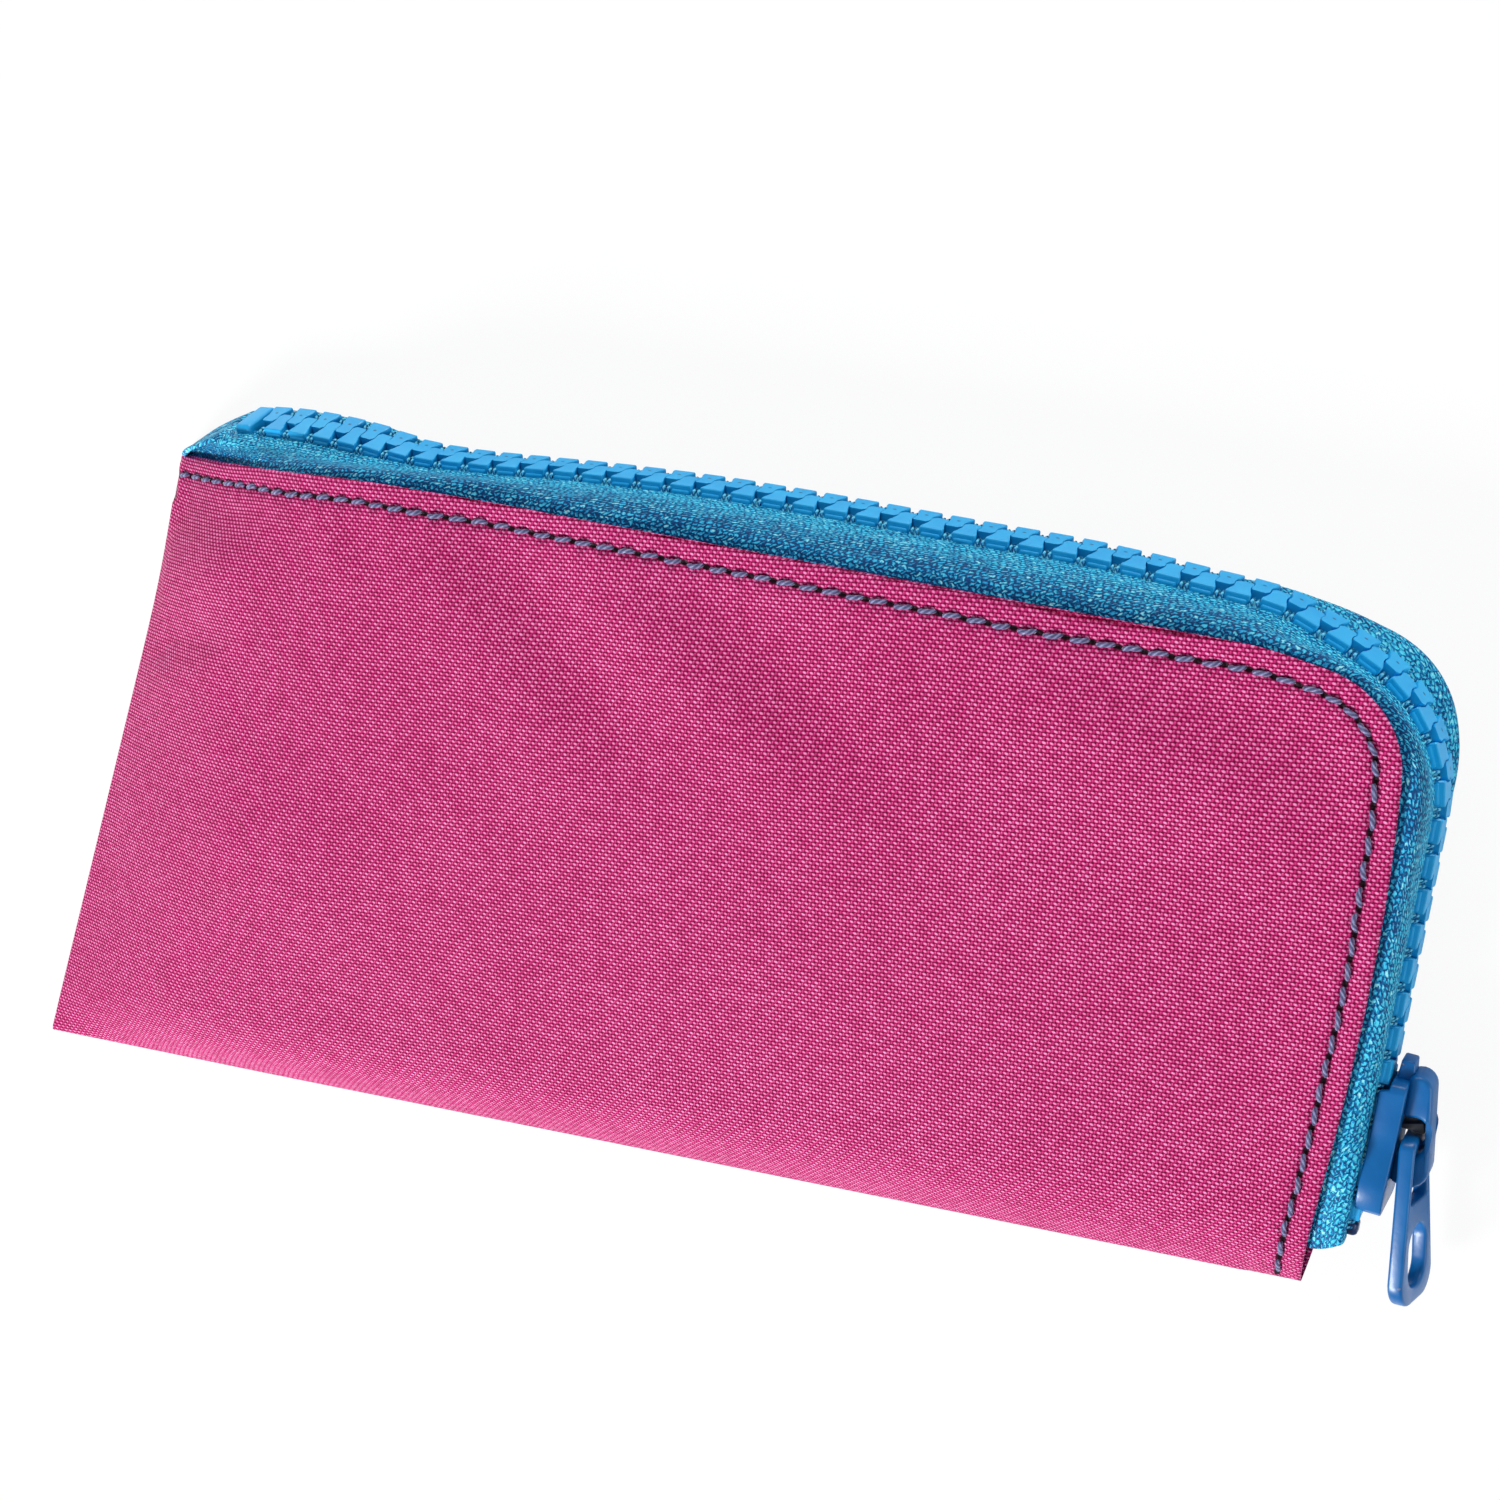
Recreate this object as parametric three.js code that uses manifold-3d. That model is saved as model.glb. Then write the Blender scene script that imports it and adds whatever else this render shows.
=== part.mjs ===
// A soft zip case for a glucose meter, lying on its back: a flat cloth pouch whose front panel swells up
// towards a moulded zip that closes the long top edge, the rounded corner and the right-hand side.
// Millimetres. X runs along the bottom seam, Y from that seam towards the long run of the zip, Z up from
// the surface that the back panel rests on.
import * as THREE from "three";
import { mergeVertices } from "three/addons/utils/BufferGeometryUtils.js";
import Module from "manifold-3d";

const wasm = await Module();
wasm.setup();

// Panel outline, seen from above
const bottomLength = 196.5; // bottom seam, corner to corner
const bottomTilt = 2.7; // rise of the bottom seam from its left end to its right end
const leftLean = 26.3; // how far the top of the left seam stands in from its foot
const leftHeight = 89.2; // top of the left seam above the middle of the bottom seam
const cornerRadius = 12.0;
const cornerUp = 65.65; // middle of the rounded corner above the right end of the bottom seam
const sideStandOut = 8.05; // how far the side hem stands out beyond that end
const cornerStart = 76.0; // degrees from +X to the first point of the rounded corner
const sideTangent = 24.0; // straight stretch of the side hem under the corner, before it leans in

// Shape of the swollen front panel
const seamHeight = 1.4; // outer face at the left seam
const foldHeight = 8.0; // outer face at the right end of the bottom seam
const bodyHeight = 14.0; // outer face just above the bottom seam's curve
const bodyRise = 8.4; // further rise up to the long hem
const bodyCrown = 3.4; // extra swell in the middle
const leftRoll = 50.0; // width over which the front falls to the left seam
const bottomRoll = 14.0; // width over which both panels turn in to the bottom seam
const crownHalfLength = 98.0;
const crownHalfWidth = 46.0;
const crownLeft = 7.5; // middle of the swell, right of the middle of the bottom seam
const crownUp = 44.0; // and above the bottom seam

// Cloth and its gaps
const clothThickness = 0.55;
const hemTurn = 0.45; // extra thickness where the edge is turned in
const hemWidth = 7.0;
const hemFade = 2.5; // width over which that thickness dies away
const hemLift = 0.75; // how far the back panel's hem stands off the rest surface
const seamGap = 0.3;
const layerGap = 0.3;
const liningThickness = 0.4;
const liningInset = 10.0; // from the long hem to the lining's edge, where the tape ends
const liningSideInset = 16.0; // and from the side hem
const liningSeamInset = 6.5; // from the left seam to the lining's edge
const liningFootInset = 9.0; // and from the bottom seam

// Zip
const toothPitch = 4.25;
const toothLength = 3.1; // along the zip, at its outer edge
const toothHeight = 2.8; // through the chain
const toothReach = 2.9; // from the chain's middle to a tooth's outer edge
const toothShoulder = 1.1; // width of its outer part, where it is moulded on the cord
const toothNeck = 1.2; // along the zip, at the neck
const toothHead = 1.8; // along the zip, at the head
const toothTip = 1.2; // along the zip, at the head's end
const toothOverlap = 0.95; // how far a head crosses the chain's middle
const toothRoom = 0.35; // from a head's end to the neck beside it
const cordRadius = 0.5;
const tapeThickness = 0.5;
const tapeSlot = 0.3; // clearance of the tape in a tooth and in the slider
const tapeTuck = 8.0; // width of tape hidden under the hem
const tapeHemGap = 0.25;
const zipFoot = 8.45; // lower end of the zip, above the right end of the bottom seam
const zipStandOut = 5.35; // and out beyond it
const zipSideLean = 5.85; // degrees that the side run leans out
const zipFootHeight = 8.0; // chain's middle above the rest surface at its lower end
const zipCornerHeight = 10.2; // and at the rounded corner
const zipTopHeight = 10.8; // and along the long run
const zipCornerUp = 60.15; // start of the zip's corner above the right end of the bottom seam
const zipCornerRadius = 18.0;
const zipCornerEnd = 60.0; // degrees from +X to the corner's last point
const zipRise = 5.8; // chain's line beyond the long hem
const zipRoll = 32.0; // degrees that the chain rolls upwards near its left end
const zipSplay = 1.6; // how far each row steps aside below the slider

// Slider and puller
const sliderLength = 15.6;
const sliderRest = 12.7; // its middle above the zip's lower end, along the side run
const sliderClearance = 0.3;
const plateThickness = 1.15;
const plateBevel = 0.8;
const plateCorner = 2.2;
const outerCover = 0.8; // extra thickness of the outer plate
const flangeWall = 0.7;
const flangeShare = 0.5; // share of the slider's length that the flanges run along
const postLength = 3.4; // wedge that parts the rows
const postWidth = 1.2;
const postNose = 0.6;
const crownWidth = 4.6;
const crownLength = 14.1;
const crownRise = 3.7;
const crownRound = 2.0;
const crownAhead = 1.05; // how far the crown's top end stands past the slider's
const tailLength = 2.0;
const tailWidth = 2.6;
const tailRise = 1.7;
const eyeRadius = 1.55;
const eyeRise = 1.5; // above the outer plate
const eyeUp = 0.5; // above the slider's middle
const eyeRun = 1.6; // straight stretch of the eye above the puller's bar
const pullerThickness = 1.9;
const pullerBar = 1.5;
const pullerTopWidth = 8.4;
const pullerWidth = 9.6;
const pullerLength = 22.2;
const pullerRound = 2.2;
const pullerTilt = 3.5; // degrees that its free end stands off the slider
const crownHoleLength = 7.0;
const crownHoleWidth = 5.7;
const pullerBand = 3.0; // bare band between the two holes
const gripHoleLength = 7.9;
const gripHoleWidth = 5.4;
const openStopLength = 1.7;
const openStopWidth = 2.4;
const closedStopLength = 2.6;
const closedStopWidth = 6.2;
const stopRound = 0.6;

// Stitching and inner fittings
const stitchPitch = 3.1;
const threadWidth = 0.42;
const stitchDip = 0.14;
const stitchInset = 2.8;
const threadLift = 0.16; // least gap between thread and cloth
const stitchStart = 5.5; // first stitch, from the end of the hem
const bindingWidth = 4.0;
const bindingInset = 2.0; // from a seam to its binding's near edge
const bindingThickness = 0.8;
const pocketLength = 84.0;
const pocketDepth = 32.0;
const pocketAcross = 8.0; // middle of the pocket, right of the middle of the bottom seam
const pocketFoot = 15.0;
const pocketThickness = 0.3;
const trimWidth = 3.0;
const trimThickness = 0.9;
const loopWidth = 12.0;
const loopThickness = 0.8;
const loopFoot = 3.0;
const penSpan = 20.6;
const penRise = 11.5;
const penAcross = 44.0;
const penUp = 63.0;
const vialSpan = 31.6;
const vialRise = 13.8;
const vialAcross = -52.0;
const vialUp = 42.0;
const restUp = 44.0; // the rest point on the back panel, above the bottom seam

const radians = THREE.MathUtils.degToRad;
const lerp = THREE.MathUtils.lerp;
const clamp = THREE.MathUtils.clamp;
const smoothstep = THREE.MathUtils.smoothstep;
const axisX = new THREE.Vector3(1, 0, 0);
const axisY = new THREE.Vector3(0, 1, 0);
const axisZ = new THREE.Vector3(0, 0, 1);
const part = new THREE.Group();
part.position.y = -restUp;

const paint = {
  cloth: { color: 0xd8307e, roughness: 0.8 },
  tape: { color: 0x1f86c4, roughness: 0.85 },
  teeth: { color: 0x2f9ee0, roughness: 0.4 },
  metal: { color: 0x2278bd, roughness: 0.3, metalness: 0.2 },
  thread: { color: 0x5a6a8e, roughness: 0.7 },
  lining: { color: 0x30343c, roughness: 0.9 },
};

function addMesh(name, geometry, look, group = part) {
  const mesh = new THREE.Mesh(geometry, new THREE.MeshStandardMaterial(paint[look]));
  mesh.name = name;
  group.add(mesh);
  return mesh;
}

// A closed geometry as a solid, and back
function solidOf(geometry) {
  const bare = geometry.clone();
  bare.deleteAttribute("normal");
  bare.deleteAttribute("uv");
  const merged = mergeVertices(bare, 1e-4);
  return new wasm.Manifold(
    new wasm.Mesh({
      numProp: 3,
      vertProperties: new Float32Array(merged.attributes.position.array),
      triVerts: new Uint32Array(merged.index.array),
    }),
  );
}

function geometryOf(solid) {
  const mesh = solid.getMesh();
  const geometry = new THREE.BufferGeometry();
  geometry.setAttribute("position", new THREE.BufferAttribute(new Float32Array(mesh.vertProperties), 3));
  geometry.setIndex(new THREE.BufferAttribute(new Uint32Array(mesh.triVerts), 1));
  return geometry;
}

// A sheet with thickness, from two like grids of points: rows[i][j] above and below
function sheetBetween(above, below) {
  const rows = above.length;
  const columns = above[0].length;
  const points = [...above.flat(), ...below.flat()];
  const top = (i, j) => i * columns + j;
  const bottom = (i, j) => rows * columns + top(i, j);
  const index = [];
  for (let i = 0; i < rows - 1; i++) {
    for (let j = 0; j < columns - 1; j++) {
      index.push(top(i, j), top(i, j + 1), top(i + 1, j + 1), top(i, j), top(i + 1, j + 1), top(i + 1, j));
      index.push(bottom(i, j), bottom(i + 1, j + 1), bottom(i, j + 1));
      index.push(bottom(i, j), bottom(i + 1, j), bottom(i + 1, j + 1));
    }
  }
  const rim = [];
  for (let j = 0; j < columns - 1; j++) rim.push([0, j]);
  for (let i = 0; i < rows - 1; i++) rim.push([i, columns - 1]);
  for (let j = columns - 1; j > 0; j--) rim.push([rows - 1, j]);
  for (let i = rows - 1; i > 0; i--) rim.push([i, 0]);
  rim.forEach(([i, j], k) => {
    const [m, n] = rim[(k + 1) % rim.length];
    index.push(top(i, j), bottom(i, j), bottom(m, n), top(i, j), bottom(m, n), top(m, n));
  });
  const geometry = new THREE.BufferGeometry().setFromPoints(points);
  geometry.setIndex(index);
  return solidOf(geometry).volume() < 0 ? turnedOut(geometry) : geometry;
}

function turnedOut(geometry) {
  const index = geometry.index.array;
  for (let i = 0; i < index.length; i += 3) [index[i + 1], index[i + 2]] = [index[i + 2], index[i + 1]];
  return geometry;
}

// A sheet of even thickness on both sides of a grid of points
function sheetAround(middle, thickness) {
  const rows = middle.length;
  const columns = middle[0].length;
  const shifted = (side) =>
    middle.map((row, i) =>
      row.map((point, j) => {
        const along = middle[Math.min(i + 1, rows - 1)][j].clone().sub(middle[Math.max(i - 1, 0)][j]);
        const across = row[Math.min(j + 1, columns - 1)].clone().sub(row[Math.max(j - 1, 0)]);
        const normal = along.cross(across).normalize();
        return point.clone().addScaledVector(normal, (side * thickness) / 2);
      }),
    );
  return sheetBetween(shifted(1), shifted(-1));
}

// Outline curves of a panel, in plan
const bottomLeft = new THREE.Vector2(-bottomLength / 2, -bottomTilt / 2);
const bottomRight = new THREE.Vector2(bottomLength / 2, bottomTilt / 2);
const topLeft = new THREE.Vector2(bottomLeft.x + leftLean, leftHeight);
const sideTop = new THREE.Vector2(bottomRight.x + sideStandOut, bottomRight.y + cornerUp);
const cornerCentre = new THREE.Vector2(sideTop.x - cornerRadius, sideTop.y);
const topRight = new THREE.Vector2(
  cornerCentre.x + cornerRadius * Math.cos(radians(cornerStart)),
  cornerCentre.y + cornerRadius * Math.sin(radians(cornerStart)),
);

// The long hem between those two points, in shares of its run and of its fall
const topHemShares = [
  [0, 1],
  [0.22, 1.12],
  [0.375, 0.97],
  [0.54, 0.74],
  [0.7, 0.51],
  [0.88, 0.25],
  [0.95, 0.18],
  [1, 0],
];
const topHem = new THREE.SplineCurve(
  topHemShares.map(([run, fall]) => {
    return new THREE.Vector2(lerp(topLeft.x, topRight.x, run), lerp(topRight.y, topLeft.y, fall));
  }),
);
const cornerHem = new THREE.EllipseCurve(
  cornerCentre.x,
  cornerCentre.y,
  cornerRadius,
  cornerRadius,
  radians(cornerStart),
  0,
  true,
);
const sideHem = new THREE.QuadraticBezierCurve(
  sideTop,
  new THREE.Vector2(sideTop.x, sideTop.y - sideTangent),
  bottomRight,
);
const longHem = new THREE.CurvePath();
longHem.add(topHem);
longHem.add(cornerHem);

const planPoint = (curve, share) => curve.getPointAt(clamp(share, 0, 1));

// A point of the panel in plan: share u from the left seam to the side hem, share v from the bottom up
function panelPoint(u, v) {
  const bottom = bottomLeft.clone().lerp(bottomRight, u);
  const top = planPoint(longHem, u);
  const left = bottomLeft.clone().lerp(topLeft, v);
  const right = planPoint(sideHem, 1 - v);
  const corners = bottomLeft
    .clone()
    .lerp(bottomRight, u)
    .lerp(topLeft.clone().lerp(sideTop, u), v);
  const ruled = bottom.lerp(top, v).add(left.lerp(right, u));
  return ruled.sub(corners);
}

const leftSeamLine = topLeft.clone().sub(bottomLeft).normalize();

function fromLeftSeam(x, y) {
  return Math.max(0, (x - bottomLeft.x) * leftSeamLine.y - (y - bottomLeft.y) * leftSeamLine.x);
}

function fromBottomSeam(x, y) {
  return Math.max(0, y - lerp(bottomLeft.y, bottomRight.y, (x - bottomLeft.x) / bottomLength));
}

const seamHeightAt = (x) => lerp(seamHeight, foldHeight, clamp((x - bottomLeft.x) / bottomLength, 0, 1));
const rollPower = 2.6;
const bottomTurn = (x, y) => Math.pow(1 - clamp(fromBottomSeam(x, y) / bottomRoll, 0, 1), rollPower);

// Height of the front panel's outer face
function frontHeight(x, y) {
  const alongCrown = clamp(1 - ((x - crownLeft) / crownHalfLength) ** 2, 0, 1);
  const upCrown = clamp(1 - ((y - crownUp) / crownHalfWidth) ** 2, 0, 1);
  const body = bodyHeight + (bodyRise * y) / leftHeight + bodyCrown * alongCrown * upCrown;
  const leftTurn = (1 - clamp(fromLeftSeam(x, y) / leftRoll, 0, 1)) ** 2;
  const seam = seamHeightAt(x);
  return seam + (body - seam) * (1 - leftTurn) * (1 - bottomTurn(x, y));
}

// Hem thickness, full within the turned edge and gone a little further in, and at the seams
const seamFade = 5.0; // width over which the hem's thickness and lift grow from a seam
const hemPoints = [...longHem.getSpacedPoints(120), ...sideHem.getSpacedPoints(60)];

function fromHem(x, y) {
  return Math.min(...hemPoints.map((point) => Math.hypot(point.x - x, point.y - y)));
}

function hemShare(x, y) {
  const atSeams = smoothstep(fromLeftSeam(x, y), 0, seamFade) * smoothstep(fromBottomSeam(x, y), 0, seamFade);
  return atSeams * (1 - smoothstep(fromHem(x, y), hemWidth, hemWidth + hemFade));
}

// Height of the back panel's outer face: flat but for its turn up to the bottom seam and its raised hem
function backHeight(x, y) {
  const edge = seamHeightAt(x) - 2 * clothThickness - seamGap;
  return Math.max(0, edge) * bottomTurn(x, y) + hemLift * hemShare(x, y);
}

const frontBelow = (x, y) => frontHeight(x, y) - clothThickness - hemTurn * hemShare(x, y);
const backAbove = (x, y) => backHeight(x, y) + clothThickness + hemTurn * hemShare(x, y);
const at = (plan, z) => new THREE.Vector3(plan.x, plan.y, z);

// A grid over a panel at a height above it, from shares across and shares up
function gridOver(acrossShares, upShares, height, pointOf = panelPoint) {
  return upShares.map((v) =>
    acrossShares.map((u) => {
      const plan = pointOf(u, v);
      return at(plan, height(plan.x, plan.y));
    }),
  );
}

const evenShares = (count) => Array.from({ length: count + 1 }, (_, k) => k / count);
const edgeShares = [0.944, 0.962, 0.98, 1];
const acrossShares = [...evenShares(26).map((share) => share * 0.92), ...edgeShares];
const upShares = [0, 0.016, 0.038, 0.068, 0.105, 0.16, 0.28, 0.42, 0.56, 0.69, 0.79, 0.845, 0.89, 0.925, 0.965, 1];
const backAcrossShares = [...evenShares(20).map((share) => share * 0.92), ...edgeShares];
const overBoth = (shares, above, below, pointOf) =>
  sheetBetween(gridOver(shares, upShares, above, pointOf), gridOver(shares, upShares, below, pointOf));
addMesh("front_panel", overBoth(acrossShares, frontHeight, frontBelow), "cloth");
addMesh("back_panel", overBoth(backAcrossShares, backAbove, backHeight), "cloth");

// Linings, inside the tapes' edges and the seams
const meanWidth = bottomLength - leftLean / 2;
const liningCornerCut = 6.5; // how far the lining's corner stays in from the panel's rounded one
const liningCornerPower = 7;

function liningPoint(u, v) {
  const low = liningFootInset / leftHeight;
  const high = 1 - (liningInset + liningCornerCut * Math.pow(u, liningCornerPower)) / leftHeight;
  const left = liningSeamInset / meanWidth;
  const right = 1 - liningSideInset / meanWidth;
  return panelPoint(lerp(left, right, u), lerp(low, high, v));
}

const shift = (height, step) => (x, y) => height(x, y) + step;
const frontLiningTop = shift(frontBelow, -layerGap);
const backLiningTop = shift(backAbove, layerGap + liningThickness);
const liningAcross = evenShares(18);
const liningUp = evenShares(9);

function lining(top) {
  return sheetBetween(
    gridOver(liningAcross, liningUp, top, liningPoint),
    gridOver(liningAcross, liningUp, shift(top, -liningThickness), liningPoint),
  );
}

addMesh("front_lining", lining(frontLiningTop), "lining");
addMesh("back_lining", lining(backLiningTop), "lining");

// The zip's line: up the side, round the corner and back along the long run to the left seam
const sideLean = radians(zipSideLean);
const zipStart = new THREE.Vector3(bottomRight.x + zipStandOut, bottomRight.y + zipFoot, zipFootHeight);
const zipCornerPoint = new THREE.Vector2(
  zipStart.x + Math.tan(sideLean) * (zipCornerUp - zipFoot),
  bottomRight.y + zipCornerUp,
);
const zipCornerCentre = new THREE.Vector2(
  zipCornerPoint.x - zipCornerRadius * Math.cos(sideLean),
  zipCornerPoint.y + zipCornerRadius * Math.sin(sideLean),
);

// Stations of the long run, in shares: place on the long hem from the corner, rise beyond it, height, roll
const longRunShares = [
  [0.02, 0.44, 0.99, 0.44],
  [0.047, 0.61, 0.99, 0.44],
  [0.1, 0.78, 1.0, 0.44],
  [0.18, 0.92, 1.0, 0.44],
  [0.285, 0.91, 1.0, 0.44],
  [0.385, 0.91, 1.0, 0.42],
  [0.487, 0.86, 1.0, 0.4],
  [0.587, 0.7, 0.995, 0.4],
  [0.685, 0.5, 0.98, 0.46],
  [0.735, 0.48, 0.95, 0.6],
  [0.8, 0.74, 0.88, 1.0],
  [0.86, 0.92, 0.77, 1.0],
  [0.925, 0.95, 0.64, 0.8],
];
const cornerSteps = 6;
const sideSteps = 8;
const zipCorner = evenShares(cornerSteps).map((share) => {
  const turn = lerp(-sideLean, radians(zipCornerEnd), share);
  return new THREE.Vector3(
    zipCornerCentre.x + zipCornerRadius * Math.cos(turn),
    zipCornerCentre.y + zipCornerRadius * Math.sin(turn),
    lerp(zipCornerHeight, zipTopHeight, share),
  );
});
const zipSide = evenShares(sideSteps).slice(0, -1).map((share) => zipStart.clone().lerp(zipCorner[0], share));
const zipTop = longRunShares.map(([along, rise, height]) => {
  const hem = topHem.getPointAt(1 - along);
  return new THREE.Vector3(hem.x, hem.y + zipRise * rise, zipTopHeight * height);
});
const zipLine = new THREE.CatmullRomCurve3([...zipSide, ...zipCorner, ...zipTop]);
zipLine.arcLengthDivisions = 1200;
const zipLength = zipLine.getLength();
const sideLength = zipStart.distanceTo(zipCorner[0]);
const cornerLength = zipCornerRadius * (radians(zipCornerEnd) + sideLean);
const sideStraightShare = 0.985;

// The chain's roll towards the front: none on the side, growing round the corner, then as the stations say
const rollStations = [
  [sideLength, 0],
  [sideLength + cornerLength, longRunShares[0][3]],
];
zipTop.forEach((point, k) => {
  const before = k > 0 ? zipTop[k - 1] : zipCorner[cornerSteps];
  rollStations.push([rollStations[k + 1][0] + point.distanceTo(before), longRunShares[k][3]]);
});

function rollAt(distance) {
  const next = rollStations.findIndex(([place]) => place > distance);
  if (next === 0) return 0;
  if (next < 0) return zipRoll * rollStations[rollStations.length - 1][1];
  const [low, high] = [rollStations[next - 1], rollStations[next]];
  const share = (distance - low[0]) / (high[0] - low[0]);
  return zipRoll * lerp(low[1], high[1], smoothstep(share, 0, 1));
}

// The zip's own axes at a distance from its lower end: along it, out of its face, and towards the front
function zipFrame(distance) {
  const onSide = distance < sideLength * sideStraightShare;
  const share = clamp(distance / zipLength, 0, 1);
  const origin = onSide ? zipStart.clone().lerp(zipCorner[0], distance / sideLength) : zipLine.getPointAt(share);
  const along = onSide ? zipCorner[0].clone().sub(zipStart).normalize() : zipLine.getTangentAt(share);
  const level = new THREE.Vector3(along.y, -along.x, 0).normalize();
  const upright = level.clone().cross(along).normalize();
  const roll = radians(rollAt(distance));
  const out = level.clone().multiplyScalar(Math.cos(roll)).addScaledVector(upright, Math.sin(roll));
  const front = upright.multiplyScalar(Math.cos(roll)).addScaledVector(level, -Math.sin(roll));
  return { origin, along, out, front };
}

const inFrame = (frame, front) => frame.origin.clone().addScaledVector(frame.front, front);

// Each row's step aside, full below the tip of the slider's wedge and gone a little above it
const wedgeTip = sliderRest - sliderLength / 2 + postLength;
const splayRun = 4.0;
const splayAt = (distance) => zipSplay * (1 - smoothstep(distance, wedgeTip, wedgeTip + splayRun));

// One tooth: x along the zip, y towards its own tape, z out of the chain's face
function toothGeometry() {
  const outline = [
    [toothLength / 2, toothReach],
    [toothLength / 2, toothReach - toothShoulder],
    [toothNeck / 2, toothOverlap + toothRoom],
    [toothHead / 2, 0],
    [toothTip / 2, -toothOverlap],
  ];
  const mirrored = outline.map(([x, y]) => [-x, y]).reverse();
  const shape = new THREE.Shape([...outline, ...mirrored].map(([x, y]) => new THREE.Vector2(x, y)));
  const body = new THREE.ExtrudeGeometry(shape, { depth: toothHeight, bevelEnabled: false });
  return body.translate(0, 0, -toothHeight / 2);
}

const tooth = toothGeometry();
const zipSpare = closedStopLength + 2 * layerGap;
const toothCount = Math.floor((zipLength - zipSpare) / toothPitch - 1);
const sideToothCount = Math.floor(sideLength / toothPitch - 1);
const cordSides = 4;
const toothPlace = (k, side) => (k + 1) * toothPitch + (side > 0 ? 0 : toothPitch / 2);

// The zip's frame as a matrix, turned about its own outward axis for the back row
function frameMatrix(distance, side, front) {
  const frame = zipFrame(distance);
  const matrix = new THREE.Matrix4().makeBasis(
    frame.along.clone().multiplyScalar(side),
    frame.front.clone().multiplyScalar(side),
    frame.out,
  );
  return matrix.setPosition(inFrame(frame, side * front));
}

// A row of teeth on its cord, from one tooth to another; side is 1 for the front row and -1 for the back
function toothRow(first, last, side) {
  const steps = last - first;
  const cordPath = evenShares(steps).map((share) => {
    const distance = lerp(toothPlace(first, side), toothPlace(last, side), share);
    return inFrame(zipFrame(distance), side * (toothReach - cordRadius + splayAt(distance)));
  });
  const section = evenShares(cordSides).slice(1).map((share) => {
    const turn = (share - 0.5 / cordSides) * 2 * Math.PI;
    return new THREE.Vector2(cordRadius * Math.cos(turn), cordRadius * Math.sin(turn));
  });
  const extrudePath = new THREE.CatmullRomCurve3(cordPath);
  const cord = new THREE.ExtrudeGeometry(new THREE.Shape(section), { steps, extrudePath, bevelEnabled: false });
  let row = solidOf(cord);
  for (let k = first; k <= last; k++) {
    const place = toothPlace(k, side);
    row = row.add(solidOf(tooth.clone().applyMatrix4(frameMatrix(place, side, splayAt(place)))));
  }
  return geometryOf(row);
}

addMesh("front_side_teeth", toothRow(0, sideToothCount - 1, 1), "teeth");
addMesh("front_top_teeth", toothRow(sideToothCount, toothCount - 1, 1), "teeth");
addMesh("back_side_teeth", toothRow(0, sideToothCount - 1, -1), "teeth");
addMesh("back_top_teeth", toothRow(sideToothCount, toothCount - 1, -1), "teeth");

// A rounded bar across the chain, x along the zip and z out of its face
function stopGeometry(length, width) {
  const high = toothHeight / 2;
  const shape = roundedShape(width, 2 * high, stopRound);
  const body = new THREE.ExtrudeGeometry(shape, { depth: length, bevelEnabled: false, curveSegments: 2 });
  const matrix = new THREE.Matrix4().makeBasis(axisY, axisZ, axisX);
  return body.translate(0, 0, -length / 2).applyMatrix4(matrix);
}

function roundedShape(width, height, round) {
  const shape = new THREE.Shape();
  const x = width / 2;
  const y = height / 2;
  const quarter = Math.PI / 2;
  shape.absarc(x - round, y - round, round, 0, quarter);
  shape.absarc(round - x, y - round, round, quarter, 2 * quarter);
  shape.absarc(round - x, round - y, round, 2 * quarter, 3 * quarter);
  shape.absarc(x - round, round - y, round, 3 * quarter, 4 * quarter);
  return shape;
}

const stopGap = toothLength / 2 + layerGap + openStopLength / 2;

function openStop(side) {
  const place = toothPlace(0, side) - stopGap;
  const middle = toothReach - openStopWidth / 2 + splayAt(place);
  return stopGeometry(openStopLength, openStopWidth).applyMatrix4(frameMatrix(place, side, middle));
}

addMesh("front_end_stop", openStop(1), "metal");
addMesh("back_end_stop", openStop(-1), "metal");
const closedStopPlace = toothPlace(toothCount - 1, -1) + toothLength / 2 + layerGap + closedStopLength / 2;
addMesh(
  "closed_end_stop",
  stopGeometry(closedStopLength, closedStopWidth).applyMatrix4(frameMatrix(closedStopPlace, 1, 0)),
  "metal",
);

// Tapes: flat beside the chain, then curving in under the hem
const flatReach = toothReach + flangeWall + 3 * sliderClearance;
const tapeEdgeWidth = 0.6; // least flat width beside the teeth
const sideEndShare = sideLength / zipLength;
const cornerEndShare = (sideLength + cornerLength) / zipLength;
const cornerHemShare = topHem.getLength() / longHem.getLength();
const hemFootShare = 0.9;
const hemEndShare = 0.035;

// The hem point that faces a place on the zip, and the way into the case from there
function facingHem(share) {
  const pick = (curve, t) => {
    const tangent = curve.getTangentAt(t);
    return { place: curve.getPointAt(t), inward: new THREE.Vector2(tangent.y, -tangent.x) };
  };
  if (share < sideEndShare) return pick(sideHem, lerp(hemFootShare, 0, share / sideEndShare));
  const onCorner = clamp((share - sideEndShare) / (cornerEndShare - sideEndShare), 0, 1);
  if (onCorner < 1) return pick(longHem, lerp(1, cornerHemShare, onCorner));
  return pick(longHem, lerp(cornerHemShare, hemEndShare, (share - cornerEndShare) / (1 - cornerEndShare)));
}

const tapeStations = 68;
const curveShares = [0.3, 0.65];
const frontLeaveShare = 0.36;
const backLeaveShare = 0.25;
const meetShare = 0.35;
const splayEase = 1.9; // how much sooner the tape steps aside than the teeth

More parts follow.
